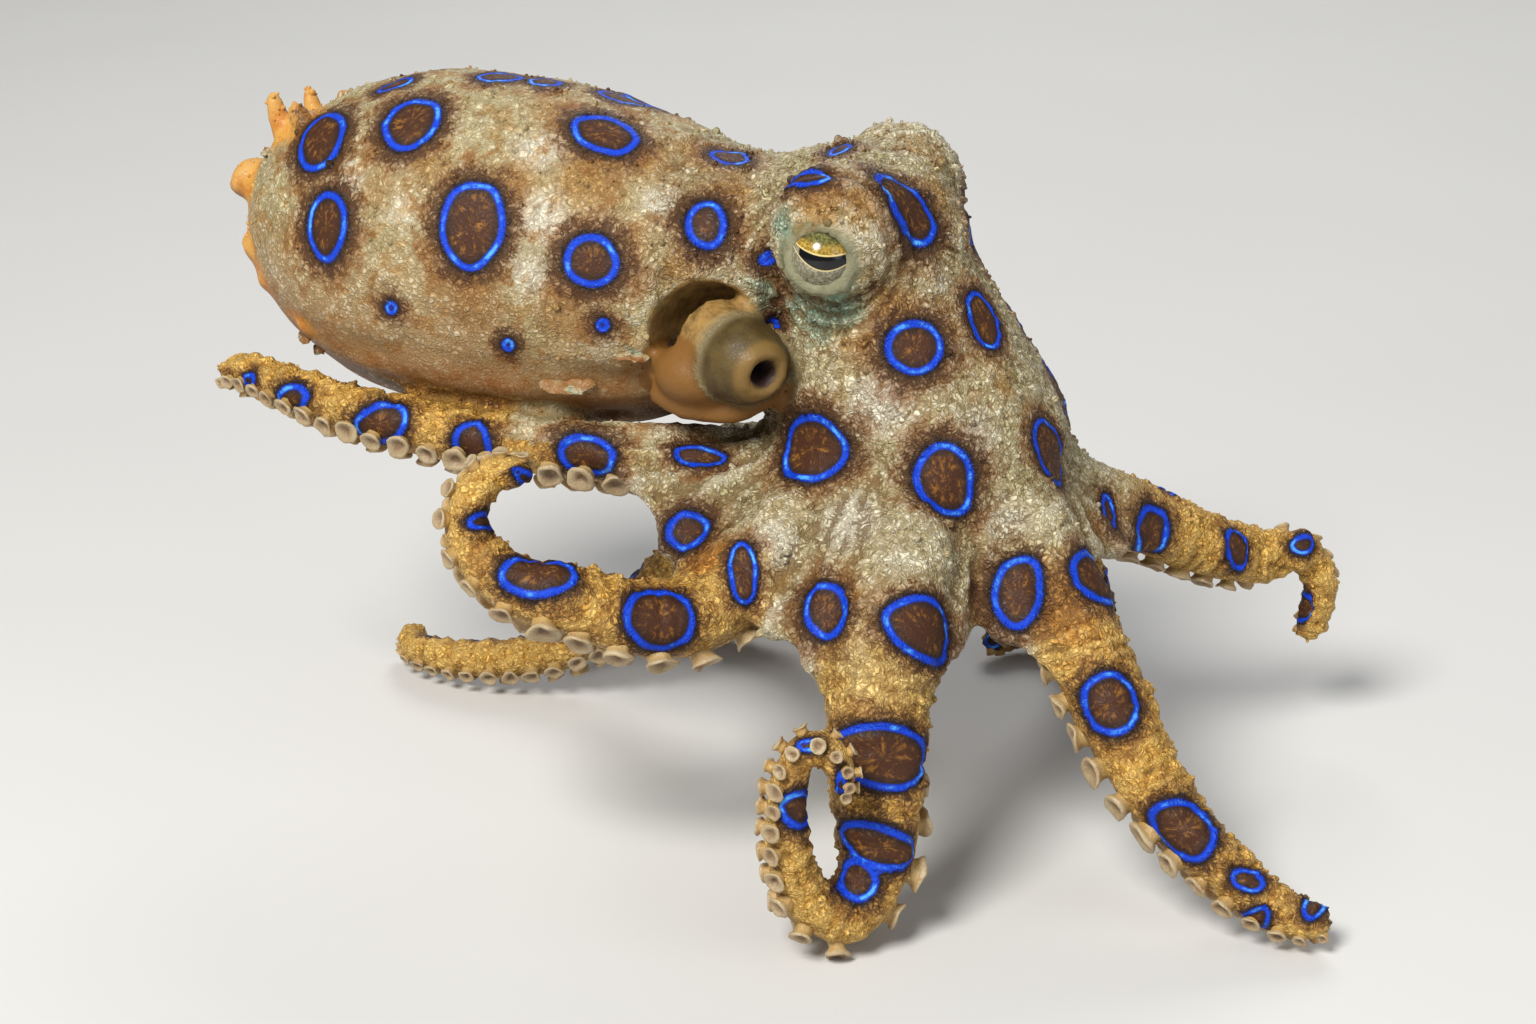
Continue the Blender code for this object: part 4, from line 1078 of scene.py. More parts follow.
class Ring:
    """An ellipse on the skin. Its frame turns offsets in its plane into offsets as first seen."""

    def __init__(self, spot, normal, wide, high, lean, draw, seen=True):
        self.spot = spot
        self.normal = normal
        self.half = [max(LEAST_RING, (size - LINE_WIDTH) / 2) for size in (wide, high)]
        self.lean = math.radians(lean)
        self.u = (CAMERA_RIGHT - normal * CAMERA_RIGHT.dot(normal)).normalized()
        self.v = normal.cross(self.u)
        look = np.eye(2)
        if seen:
            look = np.array([[self.u.dot(way), self.v.dot(way)] for way in (CAMERA_RIGHT, CAMERA_UP)])
        first, sizes, last = np.linalg.svd(look)
        self.look = first @ np.diag(np.maximum(sizes, LEAST_TILT)) @ last
        self.waves = [(n, draw.uniform(0, 2 * math.pi), draw.uniform(0.3, 1.0) * RING_WAVE / n**0.5)
                      for n in RING_WAVES]
        self.reach = max(self.half) / min(1.0, sizes.min() + 0.2) + RING_REACH
        self.line = THIN_LINE_WIDTH if min(wide, high) < THIN_BELOW else LINE_WIDTH

    def outside(self, flat):
        """Above 0 outside the ellipse, below 0 inside it."""
        seen = flat @ self.look.T
        cos, sin = math.cos(self.lean), math.sin(self.lean)
        x = (seen[:, 0] * cos - seen[:, 1] * sin) / self.half[0]
        y = (seen[:, 0] * sin + seen[:, 1] * cos) / self.half[1]
        angle = np.arctan2(y, x)
        wave = sum(size * np.sin(n * angle + phase) for n, phase, size in self.waves)
        return np.hypot(x, y) - 1 - wave, angle

    def paint(self, distance, turn):
        """Stores this ring's distance, and the turn round its middle, wherever it is the nearest."""
        near = patch(self.spot, self.reach)
        off = skin_co[near] - np.array(self.spot)
        flat = np.stack([off @ np.array(self.u), off @ np.array(self.v)], axis=1)
        chord = np.linalg.norm(off, axis=1) / np.maximum(np.linalg.norm(flat, axis=1), 1e-6)
        flat *= np.clip(chord, 1.0, 1.6)[:, None]
        level, angle = self.outside(flat)
        rise_u = (self.outside(flat + (SLOPE_STEP, 0))[0] - level) / SLOPE_STEP
        rise_v = (self.outside(flat + (0, SLOPE_STEP))[0] - level) / SLOPE_STEP
        away = level / np.maximum(np.hypot(rise_u, rise_v), LEAST_SLOPE) * LINE_WIDTH / self.line
        away = np.maximum(away, -max(self.half))
        facing = skin_normal[near] @ np.array(self.normal)
        away = away + FAR_SIDE * (1 - eased(facing, -0.35, 0.15))
        nearer = away < distance[near]
        distance[near[nearer]] = away[nearer]
        turn[near[nearer]] = angle[nearer]


# noise_vector starts from the clock unless it is given a seed.
noise.seed_set(SEED)
draw = random.Random(SEED)
rings = []
for rows in (MANTLE_RINGS, MANTLE_DOTS, HEAD_RINGS, ARM_RINGS):
    for across, down, wide, high, lean in rows:
        spot, normal = skin_plane(seen_through(across, down))
        rings.append(Ring(spot, normal, wide, high, lean, draw))
print("rings seen in the photograph:", len(rings))

# %% [markdown]
# The photograph shows one side. The mantle's far side gets the same rings mirrored, as the two
# sides of a real animal are nearly alike. The hidden sides of the arms and the web get rings by a
# rule: one every few millimetres, unless another ring is close or the camera would see it.

# %% Rings on the far side
ARM_RING_START = 6.0
ARM_RING_STEP = 1.6
ARM_RING_SIZES = (1.5, 4.4)
ARM_RING_TURNS = (0, -62, 62)
ARM_RING_ROOM = 1.4
# The width, height, lean and room of a ring on the side of the crown that doesn't show.
CROWN_RING = (3.8, 4.4, 10, 2.9)
FAR_RING_ROOM = 0.6
LEAST_FACING = 0.12
# Each pair is a height and a reach from the middle of the crown.
CROWN_LEVELS = ((33.0, 11.0), (38.5, 9.0), (44.0, 8.0))


def camera_sees(spot, normal):
    toward = (CAMERA_EYE - spot).normalized()
    if normal.dot(toward) < LEAST_FACING:
        return False
    return skin_tree.ray_cast(spot + toward * 0.6, toward)[0] is None


def has_room(spot, room):
    return all((ring.spot - spot).length > room + max(ring.half) for ring in rings)


def shows_in_photograph(spot, reach):
    """Whether the camera sees any of the skin within a reach of a spot."""
    near = patch(spot, reach)
    step = max(1, len(near) // 24)
    return any(camera_sees(Vector(skin_co[i]), Vector(skin_normal[i])) for i in near[::step])


def add_hidden_ring(place, wide, high, lean, room):
    spot, normal = skin_plane(place)
    if not has_room(spot, room) or shows_in_photograph(spot, max(wide, high) / 2 + 0.3):
        return
    rings.append(Ring(spot, normal, wide, high, lean, draw, seen=False))


for ring in list(rings[:len(MANTLE_RINGS) + len(MANTLE_DOTS)]):
    if (ring.spot - MANTLE_APEX).dot(LEFT) < -2.0:
        wide, high = (half * 2 + LINE_WIDTH for half in ring.half)
        add_hidden_ring(mirrored(ring.spot), wide, high, -math.degrees(ring.lean), FAR_RING_ROOM)
for arm in arms.values():
    distance = ARM_RING_START
    while distance < arm.length - 0.8:
        least, most = ARM_RING_SIZES
        size = min(most, max(least, 1.75 * arm.half_width(distance)))
        for degrees in ARM_RING_TURNS:
            add_hidden_ring(arm.point(distance, degrees), size * draw.uniform(0.85, 1.1), size,
                            draw.uniform(-30, 30), size * 0.5 + ARM_RING_ROOM)
        distance += ARM_RING_STEP
for turn in range(0, 360, 9):
    for level, reach in CROWN_LEVELS:
        add_hidden_ring(ROOT_CENTRE + radial(turn) * reach + UP * (level - ROOT_LEVEL), *CROWN_RING)

ring_distance = np.full(len(skin_co), FAR_AWAY)
ring_turn = np.zeros(len(skin_co))
for ring in rings:
    ring.paint(ring_distance, ring_turn)
print("rings in all:", len(rings))

# %% [markdown]
# ## Skin relief
# The skin is never smooth. Folds run along the lower side of the mantle, pleats gather the web
# between the front arms, wrinkles lie round the eye, and low bumps cover the rest. Each is a height
# that moves a point along its normal. Inside a ring the skin is flatter, so the rings come first.

# %% Move the skin
FOLDS = 15
FOLD_HEIGHT = 0.24
LUMP_SIZE = 3.2
LUMP_HEIGHT = 0.22
RIDGE_SIZE = 2.1
RIDGE_HEIGHT = 0.15
BEAD_SIZE = 1.0
BEAD_HEIGHT = 0.15
ARM_BEAD_SIZE = 2.3
ARM_BEAD_HEIGHT = 0.25
WRINKLE_PITCH = 1.0
WRINKLE_HEIGHT = 0.13
PLEATS = 34
PLEAT_HEIGHT = 0.34
CREASE_PITCH = 1.3
CREASE_HEIGHT = 0.09
LESS_ON_MANTLE = 0.4


def lid_opening(co, side):
    """How far a point is inside the opening of an eye, from 0 at the rim to 1 in the middle."""
    off = (co - np.array(eye_centre(side))) @ np.array(eye_frame(side)).T
    ellipse = np.hypot(off[:, 0] / EYE_OPENING[0], off[:, 1] / EYE_OPENING[1])
    return (1 - eased(ellipse, 0.74, 1.1)) * (off[:, 2] > 0.2)


def ridges_over(co, size, seed=0.0):
    """Sharp crests between shallow dips, from 0 to 1."""
    return 1 - np.minimum(1.0, np.abs(noise_over(co, size, seed)) * 2.6)


def relief(co, at):
    """Height in millimetres at every point."""
    soft = (1 - at.funnel) * (1 - at.pocket) * (1 - at.collar)
    plain = soft * (1 - 0.8 * at.under) * (1 - 0.9 * at.tag)
    in_ring = 1 - eased(ring_distance, -0.5, 0.1)
    turn = at.mantle_turn
    fold = np.sin(turn * FOLDS + 2.2 * noise_over(co, 7.0, 3.0)) * eased(-np.sin(turn), 0.1, 0.7)
    height = FOLD_HEIGHT * fold * at.mantle * eased(at.axis_share, 0.15, 0.5) * soft
    height += LUMP_HEIGHT * noise_over(co, LUMP_SIZE, 1.0) * soft
    ridges = RIDGE_HEIGHT * (ridges_over(co, RIDGE_SIZE, 5.0) - 0.5) * plain
    height += ridges * (1 - LESS_ON_MANTLE * at.mantle) * (1 - 0.7 * in_ring)
    rough = plain * (1 - 0.8 * at.oral) * (1 - 0.75 * in_ring)
    beads = BEAD_HEIGHT * (beads_over(co, BEAD_SIZE) - 0.5)
    height += beads * rough * (1 - LESS_ON_MANTLE * at.mantle)
    arm_beads = ARM_BEAD_HEIGHT * (beads_over(co, ARM_BEAD_SIZE, 9.0) - 0.5)
    height += arm_beads * rough * at.arm * eased(at.along, 0.3, 0.6)
    wrinkle = np.sin(at.eye_away * 2 * math.pi / WRINKLE_PITCH + noise_over(co, 3.0, 2.0))
    wrinkle *= eased(at.eye_away, 3.2, 4.0) * (1 - eased(at.eye_away, 6.4, 7.6)) * (co[:, 2] > 38)
    height += WRINKLE_HEIGHT * wrinkle
    around = np.arctan2(co[:, 1] - ROOT_CENTRE.y, co[:, 0] - ROOT_CENTRE.x)
    web = (1 - at.arm) * eased(at.reach, 2.0, 7.0) * (1 - eased(at.reach, 16.0, 20.0))
    pleat = np.sin(around * PLEATS + 1.5 * noise_over(co, 5.0, 8.0)) * web * (co[:, 2] < ROOT_LEVEL)
    height += PLEAT_HEIGHT * pleat * (1 - 0.6 * in_ring)
    crease = np.sin(at.reach * 2 * math.pi / CREASE_PITCH + 2.0 * noise_over(co, 3.0, 4.0))
    return height + CREASE_HEIGHT * crease * at.arm * (1 - at.oral) * eased(at.along, 0.15, 0.4)


def shape_skin(mesh):
    co, normal = points_of(mesh)
    height = relief(co, at)
    moved = co + normal * height[:, None]
    for side in (-1, 1):
        moved -= np.array(eye_frame(side)[2])[None, :] * (EYE_DEPTH * lid_opening(co, side))[:, None]
    moved[:, 2] = np.maximum(moved[:, 2], FLOOR_FLAT)
    for corner, point in zip(mesh.verts, moved):
        corner.co = point
    print("relief from", round(float(height.min()), 2), "to", round(float(height.max()), 2), "mm")


shape_skin(flesh)
skin_co, skin_normal = points_of(flesh)
skin_tree = BVHTree.FromBMesh(flesh)

# %% [markdown]
# ## Where the skin changes colour
# The skin's paint needs to know more than the rings: where the arms turn orange, where the mantle's
# underside is smooth and brown, and darker as painted shade, where the blue-green patches round
# the eye are. Each is an attribute, a number stored at every point, which the material reads by name.

# %% Store the fields
# Each row is a pixel of the photograph, then a radius in millimetres and a strength.
CLOUDS = (
    (1062, 612, 2.4, 1.0), (705, 545, 2.2, 0.9), (868, 292, 1.3, 1.0), (590, 185, 2.4, 0.5),
    (640, 150, 2.0, 0.5), (880, 160, 2.0, 0.5), (735, 255, 1.6, 0.6), (980, 380, 2.0, 0.4),
    (1085, 735, 2.0, 0.4), (690, 120, 2.4, 0.6), (455, 150, 2.4, 0.4), (380, 250, 2.2, 0.35),
    (540, 320, 2.6, 0.45), (300, 180, 2.2, 0.5),
)
TEAL_SPOTS = (
    (790, 296, 2.2, 1.0), (842, 308, 1.7, 1.0), (782, 222, 1.3, 0.9), (765, 275, 1.5, 0.8),
    (818, 322, 1.6, 0.9), (628, 350, 1.0, 0.5), (640, 330, 0.9, 0.4),
)
AMBER_SPOTS = (
    (820, 196, 2.4, 1.0), (856, 205, 2.0, 0.8), (800, 230, 1.2, 0.6), (925, 150, 2.6, 0.7),
    (940, 190, 2.4, 0.7), (590, 180, 3.0, 0.8), (645, 160, 2.6, 0.7), (560, 110, 3.0, 0.6),
    (470, 300, 3.0, 0.6), (560, 320, 3.0, 0.6), (680, 270, 2.0, 0.7), (735, 190, 2.2, 0.7),
    (380, 190, 2.2, 0.5), (290, 240, 2.0, 0.6), (700, 150, 2.6, 0.7), (1065, 600, 3.0, 1.0),
    (705, 555, 2.4, 1.0), (890, 300, 2.2, 0.8), (860, 345, 1.8, 0.7), (1000, 380, 2.2, 0.6),
    (850, 590, 2.2, 0.5), (985, 400, 2.0, 0.4), (430, 165, 2.4, 0.6), (520, 180, 2.2, 0.6),
    (640, 240, 2.0, 0.5),
)
CHALK_SPOTS = (
    (880, 405, 2.6, 1.0), (850, 520, 2.8, 0.9), (770, 545, 2.6, 0.9), (760, 600, 2.2, 0.8),
    (980, 430, 2.2, 0.7), (1010, 520, 2.4, 0.7), (540, 150, 2.4, 0.8), (545, 215, 2.4, 0.9),
    (530, 275, 2.2, 0.7), (350, 180, 2.0, 0.7), (400, 210, 2.2, 0.6), (280, 280, 2.4, 0.6),
    (660, 200, 2.0, 0.7), (900, 560, 2.2, 0.6), (975, 300, 1.8, 0.7), (940, 280, 1.6, 0.6),
    (1090, 680, 2.2, 0.7), (880, 700, 2.6, 0.7), (1130, 770, 2.2, 0.6), (700, 600, 2.0, 0.5),
    (455, 330, 2.4, 0.5), (600, 350, 2.2, 0.5),
)


def spots_over(rows):
    """A soft spot round each pixel's place on the skin, of the radius and strength in its row."""
    total = np.zeros(len(skin_co))
    for across, down, radius, strength in rows:
        spot = seen_through(across, down)
        away = away_from(skin_co, spot) / radius
        total = np.maximum(total, strength * np.exp(-away * away))
    return total


def smoothed(values, rounds):
    """Every point's values after they are averaged with its neighbours' a number of times."""
    first, second = skin_edges
    count = len(values)
    joined = np.bincount(first, minlength=count) + np.bincount(second, minlength=count)
    for _ in range(rounds):
        around = [np.bincount(first, column[second], count) + np.bincount(second, column[first], count)
                  for column in values.T]
        values = (values + np.array(around).T / joined[:, None]) / 2
    return values


def standing(rounds, most):
    """How far a point stands out of the skin round it: 0 in a hollow, 1 on a crest."""
    out = np.sum((skin_co - smoothed(skin_co, rounds)) * skin_normal, axis=1)
    return np.clip(0.5 + out / most / 2, 0.0, 1.0)


skin_edges = np.array([[corner.index for corner in edge.verts] for edge in flesh.edges]).T
FIELDS = {
    "ring": ring_distance,
    "ring_cos": np.cos(ring_turn),
    "ring_sin": np.sin(ring_turn),
    # crest and swell say how far a point stands out; the paint puts painted highlight on crests and painted
    # shade in hollows with them.
    "crest": standing(5, 0.09),
    "swell": standing(50, 0.45),
    "arm": at.arm * (1 - at.mantle),
    "along": at.along * at.arm,
    "oral": at.oral,
    "under": at.under,
    "mantle": at.mantle,
    "funnel": at.funnel,
    "funnel_rim": at.funnel_rim,
    "hole": at.funnel_hole,
    "pocket": at.pocket * (1 - at.funnel),
    "pocket_rim": at.pocket_rim * (1 - at.funnel),
    "collar": np.maximum(at.collar, at.hem) * (1 - at.funnel),
    "tag": at.tag,
    "cloud": spots_over(CLOUDS),
    "teal": spots_over(TEAL_SPOTS),
    "amber": spots_over(AMBER_SPOTS),
    "chalk": spots_over(CHALK_SPOTS),
    "lid": 1 - eased(at.eye_away, 2.95, 3.5),
}


def store_fields(data, fields):
    for name, values in fields.items():
        layer = data.attributes.new(name, "FLOAT", "POINT")
        layer.data.foreach_set("value", np.asarray(values, dtype=np.float32))


def finished(mesh, name, fields):
    """A piece of the scene: a mesh in millimetres, made metres, with its fields stored in it."""
    mesh.transform(Matrix.Scale(MM, 4) @ Matrix.Translation(-BOX_CENTRE))
    made = object_of(mesh, name)
    store_fields(made.data, fields)
    made.data.shade_smooth()
    return made


def stored(mesh):
    """A bmesh as mesh data, to add to another one many times."""
    data = bpy.data.meshes.new("template")
    mesh.to_mesh(data)
    mesh.free()
    return data


def add_copy(mesh, data, move):
    """Adds mesh data to a bmesh, moved, and gives the points that it added."""
    start = len(mesh.verts)
    mesh.from_mesh(data)
    mesh.verts.ensure_lookup_table()
    added = mesh.verts[start:]
    for corner in added:
        corner.co = move @ corner.co
    return added


def off_the_floor(mesh):
    """Lifts whatever points are below the floor up to it."""
    for corner in mesh.verts:
        corner.co.z = max(corner.co.z, 0.0)


skin = finished(flesh, "skin", FIELDS)

# %% [markdown]
# ## Suckers
# Every arm bears two staggered rows of suckers from the mouth to its tip. A sucker is a flared cup
# on a short stem. One profile is spun into a template, and copies of it are scaled and set along
# the arms, each a little different.

# %% Suckers
SUCKER_START = 8.5
SUCKER_SHARE = 0.37
SUCKER_MOST = 1.05
SUCKER_LEAST = 0.4
SUCKER_PITCH = 1.2
SUCKER_WOBBLE = 0.26
SUCKER_LEAN = 0.13
SUCKER_SPLAY = 34.0
SUCKER_PROFILE = (
    (0.82, -0.5), (0.78, -0.1), (0.76, 0.12), (0.84, 0.32), (1.0, 0.46), (1.06, 0.58), (1.0, 0.68),
    (0.82, 0.66), (0.62, 0.54), (0.44, 0.44), (0.32, 0.3), (0.0, 0.24),
)
SUCKER_SIDES = 14


def sucker_places(arm):
    """Distance, turn round the arm and radius of every sucker."""
    places = []
    distance = SUCKER_START
    row = 1
    while True:
        radius = min(SUCKER_MOST, max(SUCKER_LEAST, arm.half_width(distance) * SUCKER_SHARE))
        if distance + radius * 0.6 > arm.length:
            return places
        places.append((distance, 180 + SUCKER_SPLAY * row, radius * draw.uniform(0.9, 1.08)))
        distance += radius * SUCKER_PITCH
        row = -row


def profile_share(point):
    """How far along the profile a point of the template is."""
    reach = math.hypot(point.x, point.y)
    away = [abs(radius - reach) + abs(height - point.z) for radius, height in SUCKER_PROFILE]
    return away.index(min(away)) / (len(away) - 1)


def all_suckers():
    data = stored(spun(SUCKER_PROFILE, SUCKER_SIDES, capped=True))
    profile = [profile_share(corner.co) for corner in data.vertices]
    together = bmesh.new()
    fields = {"profile": [], "along": []}
    for arm in arms.values():
        for distance, degrees, radius in sucker_places(arm):
            centre, tangent, _, _ = arm.frame(distance)
            root = arm.point(distance, degrees)
            lean = Vector([draw.uniform(-SUCKER_LEAN, SUCKER_LEAN) for _ in range(3)])
            outward = ((root - centre).normalized() + lean).normalized()
            across = outward.cross(tangent).normalized()
            wide, tall = radius * draw.uniform(0.92, 1.08), radius * draw.uniform(0.95, 1.25)
            move = turned(root, across.cross(outward), across, outward)
            move = move @ Matrix.Diagonal((wide, radius, tall, 1.0))
            for corner in add_copy(together, data, move):
                corner.co += noise.noise_vector(corner.co / radius) * SUCKER_WOBBLE * radius
            fields["profile"] += profile
            fields["along"] += [distance / arm.length] * len(profile)
    off_the_floor(together)
    bpy.data.meshes.remove(data)
    bmesh.ops.recalc_face_normals(together, faces=together.faces)
    return together, fields


sucker_mesh, sucker_fields = all_suckers()
suckers = finished(sucker_mesh, "suckers", sucker_fields)
print("suckers:", len(suckers.data.polygons), "faces")

# %% [markdown]
# ## Warts
# Small cones of skin stand on the brow, the crown and the back of the arms, and break the outline.
# They are too fine for the skin's mesh, so they are a mesh of their own in the same paint: one
# little spun cone, copied to random points of the skin where the real ones are.

# %% Warts
WART_PROFILE = ((0.66, -0.35), (0.6, 0.08), (0.48, 0.36), (0.28, 0.58), (0.0, 0.68))
WART_SIDES = 7
WART_COUNT = 2800
WART_SIZES = (0.13, 0.32)
WART_LEAN = 0.3
BIG_WARTS = 0.1
BIG_WART = 1.9
# Each row is a pixel of the photograph and the half width of the flap of skin there.
FLAPS = ((568, 382, 2.1), (633, 355, 1.2), (302, 337, 1.3), (318, 352, 0.9), (262, 150, 1.1))


def add_flap(mesh, spot, normal, size):
    """A thin leaf of skin that stands out and hangs a little."""
    outward = (normal - UP * 0.5).normalized()
    across = outward.cross(UP).normalized()
    place = turned(spot + outward * size * 0.12, across, outward, across.cross(outward))
    leaf = bmesh.ops.create_uvsphere(mesh, u_segments=24, v_segments=12, radius=1.0,
                                     matrix=place @ Matrix.Diagonal((size, size * 0.36, 0.22, 1.0)))
    for corner in leaf["verts"]:
        corner.co += noise.noise_vector(corner.co / 0.6) * 0.3


def wart_chance():
    """How likely a wart is at each point of the skin."""
    brow = eased(skin_co[:, 2], 36.0, 46.0) * (1 - at.mantle)
    crown = eased(skin_co[:, 2], 24.0, 30.0) * (1 - at.mantle)
    back = at.arm * (1 - at.oral)
    top = at.mantle * eased(skin_normal[:, 2], 0.2, 0.9)
    apex = at.mantle * (1 - eased(at.axis_share, 0.05, 0.2))
    chance = 0.25 * at.mantle + 0.9 * brow + 0.45 * crown + 0.5 * back + 0.35 * top + 0.6 * apex
    chance *= (1 - at.funnel) * (1 - at.pocket) * (1 - 0.9 * at.under) * (1 - at.oral)
    chance *= eased(ring_distance, 0.25, 0.8)
    return chance * (at.eye_away > 2.9)


def all_warts():
    chance = wart_chance()
    chance = chance / chance.sum()
    chosen = np.random.default_rng(SEED).choice(len(skin_co), WART_COUNT, replace=False, p=chance)
    data = stored(spun(WART_PROFILE, WART_SIDES))
    together = bmesh.new()
    for index in chosen:
        normal = Vector(skin_normal[index])
        normal = (normal + Vector([draw.uniform(-WART_LEAN, WART_LEAN) for _ in range(3)])).normalized()
        size = draw.uniform(*WART_SIZES) * (BIG_WART if draw.random() < BIG_WARTS else 1.0)
        turn = normal.to_track_quat("Z", "Y").to_matrix().to_4x4()
        stretch = Matrix.Diagonal((size, size, size * draw.uniform(0.7, 1.3), 1.0))
        add_copy(together, data, Matrix.Translation(Vector(skin_co[index])) @ turn @ stretch)
    origins = np.repeat(chosen, len(data.vertices))
    bpy.data.meshes.remove(data)
    for across, down, size in FLAPS:
        spot, normal = skin_plane(seen_through(across, down))
        start = len(together.verts)
        add_flap(together, spot, normal, size)
        nearest = away_from(skin_co, spot).argmin()
        origins = np.append(origins, np.full(len(together.verts) - start, nearest))
    off_the_floor(together)
    return together, {name: np.asarray(values)[origins] for name, values in FIELDS.items()}


wart_mesh, wart_fields = all_warts()
warts = finished(wart_mesh, "warts", wart_fields)
print("warts:", len(warts.data.polygons), "faces")

# %% [markdown]
# ## Eyes and lips
# Each eye is a ball that lies deep in its mound and shows through the lid. Its iris needs a sharp
# edge, so every point stores how far forward and how far up it is, and the material draws the
# pupil from those two numbers. The lips are two rolls round the tip of the beak, under the arms.

# %% Eyes and lips
LIP_DROP = 0.3
LIP_SIDES = 40
LIP_PROFILE = (
    (2.9, 0.3), (2.95, -0.5), (2.7, -1.2), (2.2, -1.6), (1.7, -1.45), (1.5, -1.1), (1.2, -1.35), (0.8, -1.3),
    (0.5, -0.9), (0.3, -1.3), (0.0, -1.5),
)


def make_eye(side, name):
    mesh = bmesh.new()
    bmesh.ops.create_uvsphere(mesh, u_segments=72, v_segments=48, radius=EYE_RADIUS)
    fields = {"forward": [corner.co.x for corner in mesh.verts],
              "upward": [corner.co.y for corner in mesh.verts]}
    mesh.transform(turned(eye_centre(side), *eye_frame(side)))
    bmesh.ops.recalc_face_normals(mesh, faces=mesh.faces)
    return finished(mesh, name, fields)


eye_right = make_eye(-1, "iris_right")
eye_left = make_eye(1, "iris_left")
lips = finished(spun(LIP_PROFILE, LIP_SIDES, ROOT_CENTRE - UP * LIP_DROP, capped=True), "lips", {})

# %% [markdown]
# ## Painting with nodes
# Every finish below is worked out by nodes, so it has no picture and no seam. A Value is one
# output of a node, and its sums and products add the next node, so a recipe reads as arithmetic.
# Fields reads the numbers stored at each point. An effect that more than one material uses is a
# node group with named inputs and outputs.

# %% Node helpers


class Value:
    """One output of a node. What is worked out from it adds a node to the same tree."""

    def __init__(self, socket):
        self.socket = socket
        self.tree = socket.id_data

    def __add__(self, other):
        return calculate("ADD", self, other)

    def __sub__(self, other):
        return calculate("SUBTRACT", self, other)

    def __rsub__(self, other):
        return calculate("SUBTRACT", other, self)

    def __mul__(self, other):
        return calculate("MULTIPLY", self, other)

    __radd__ = __add__
    __rmul__ = __mul__

    def __abs__(self):
        return calculate("ABSOLUTE", self)

    def step(self, low, high):
        """0 at low, 1 at high, eased. It falls instead where low is the greater."""
        given = {"Value": self, "From Min": min(low, high), "From Max": max(low, high),
                 "To Min": float(low > high), "To Max": float(low <= high)}
        return Value(add(self.tree, "MapRange", given, interpolation_type="SMOOTHSTEP").outputs["Result"])

    def stirred(self, noise, width):
        """This value moved up and down by a noise that is about a half in the middle."""
        return self + (noise - 0.5) * width


def put(socket, value):
    """Gives a socket a number or a colour, or links another node's output to it."""
    if isinstance(value, Value):
        value.tree.links.new(value.socket, socket)
    else:
        socket.default_value = (*value, 1.0) if socket.type == "RGBA" else value


def add(tree, kind, given=(), **settings):
    """A new node with its settings, and with values in its sockets."""
    node = tree.nodes.new("ShaderNode" + kind)
    for name, setting in settings.items():
        setattr(node, name, setting)
    for label, value in dict(given).items():
        put(node.inputs[label], value)
    return node


def tree_of(*values):
    return next(value.tree for value in values if isinstance(value, Value))


def calculate(operation, *values):
    node = add(tree_of(*values), "Math", dict(enumerate(values)), operation=operation)
    return Value(node.outputs[0])


def greatest(first, *others):
    for other in others:
        first = calculate("MAXIMUM", first, other)
    return first


def mixed(share, first, second, kind="MIX"):
    """The first colour with a share of the second laid over it."""
    node = add(tree_of(share, first, second), "Mix", {"Factor": share}, data_type="RGBA", blend_type=kind)
    for socket, colour in zip([socket for socket in node.inputs if socket.type == "RGBA"], (first, second)):
        put(socket, colour)
    return Value(next(socket for socket in node.outputs if socket.type == "RGBA"))


def scaled(place, factor):
    return Value(add(place.tree, "VectorMath", {0: place, "Scale": factor}, operation="SCALE").outputs[0])


def clouds(place, size, detail=3.0, roughness=0.55):
    """Noise from 0 to 1 whose lumps are about size millimetres across."""
    given = {"Vector": place, "Scale": 1.0 / size, "Detail": detail, "Roughness": roughness}
    return Value(add(place.tree, "TexNoise", given).outputs["Fac"])


def ridge(value, sharpness):
    """A crest where the value crosses a half, falling to 0 on both sides."""
    return greatest(1.0 - abs(value - 0.5) * sharpness, 0.0)


def cells(place, size, feature, answer="Distance"):
    node = add(place.tree, "TexVoronoi", {"Vector": place, "Scale": 1.0 / size}, feature=feature)
    return Value(node.outputs[answer])


class Fields(dict):
    """The numbers stored at each point, by name. Each gets its node when it is first read."""

    def __init__(self, tree):
        self.tree = tree

    def __missing__(self, name):
        self[name] = Value(add(self.tree, "Attribute", attribute_name=name).outputs["Fac"])
        return self[name]


class Finish:
    """A material, its shader, and the two things its recipe reads: places in mm, and fields."""

    def __init__(self, name):
        self.material = bpy.data.materials.new(name)
        self.material.use_nodes = True
        tree = self.material.node_tree
        self.shader = tree.nodes["Principled BSDF"]
        self.place = scaled(Value(add(tree, "TexCoord").outputs["Object"]), 1.0 / MM)
        self.fields = Fields(tree)

    def set(self, **values):
        for label, value in values.items():
            put(self.shader.inputs[label.replace("_", " ")], value)

    def bump(self, height, depth):
        """Relief of a depth in millimetres, for what is too fine for the mesh."""
        node = add(height.tree, "Bump", {"Strength": 1.0, "Distance": depth * MM, "Height": height})
        self.set(Normal=Value(node.outputs["Normal"]))


def grouped(name, inputs, recipe):
    """A node group whose outputs are what the recipe makes of its inputs."""
    tree = bpy.data.node_groups.new(name, "ShaderNodeTree")
    for label, kind in inputs.items():
        tree.interface.new_socket(label, in_out="INPUT", socket_type=kind)
    given = tree.nodes.new("NodeGroupInput")
    made = recipe(*[Value(given.outputs[label]) for label in inputs])
    for label in made:
        tree.interface.new_socket(label, in_out="OUTPUT", socket_type="NodeSocketFloat")
    out = tree.nodes.new("NodeGroupOutput")
    for label, value in made.items():
        put(out.inputs[label], value)
    return tree


def use(shared, **values):
    """The outputs of a node group by name, in the tree of its values."""
    node = add(tree_of(*values.values()), "Group", values, node_tree=shared)
    return {socket.name: Value(socket) for socket in node.outputs}


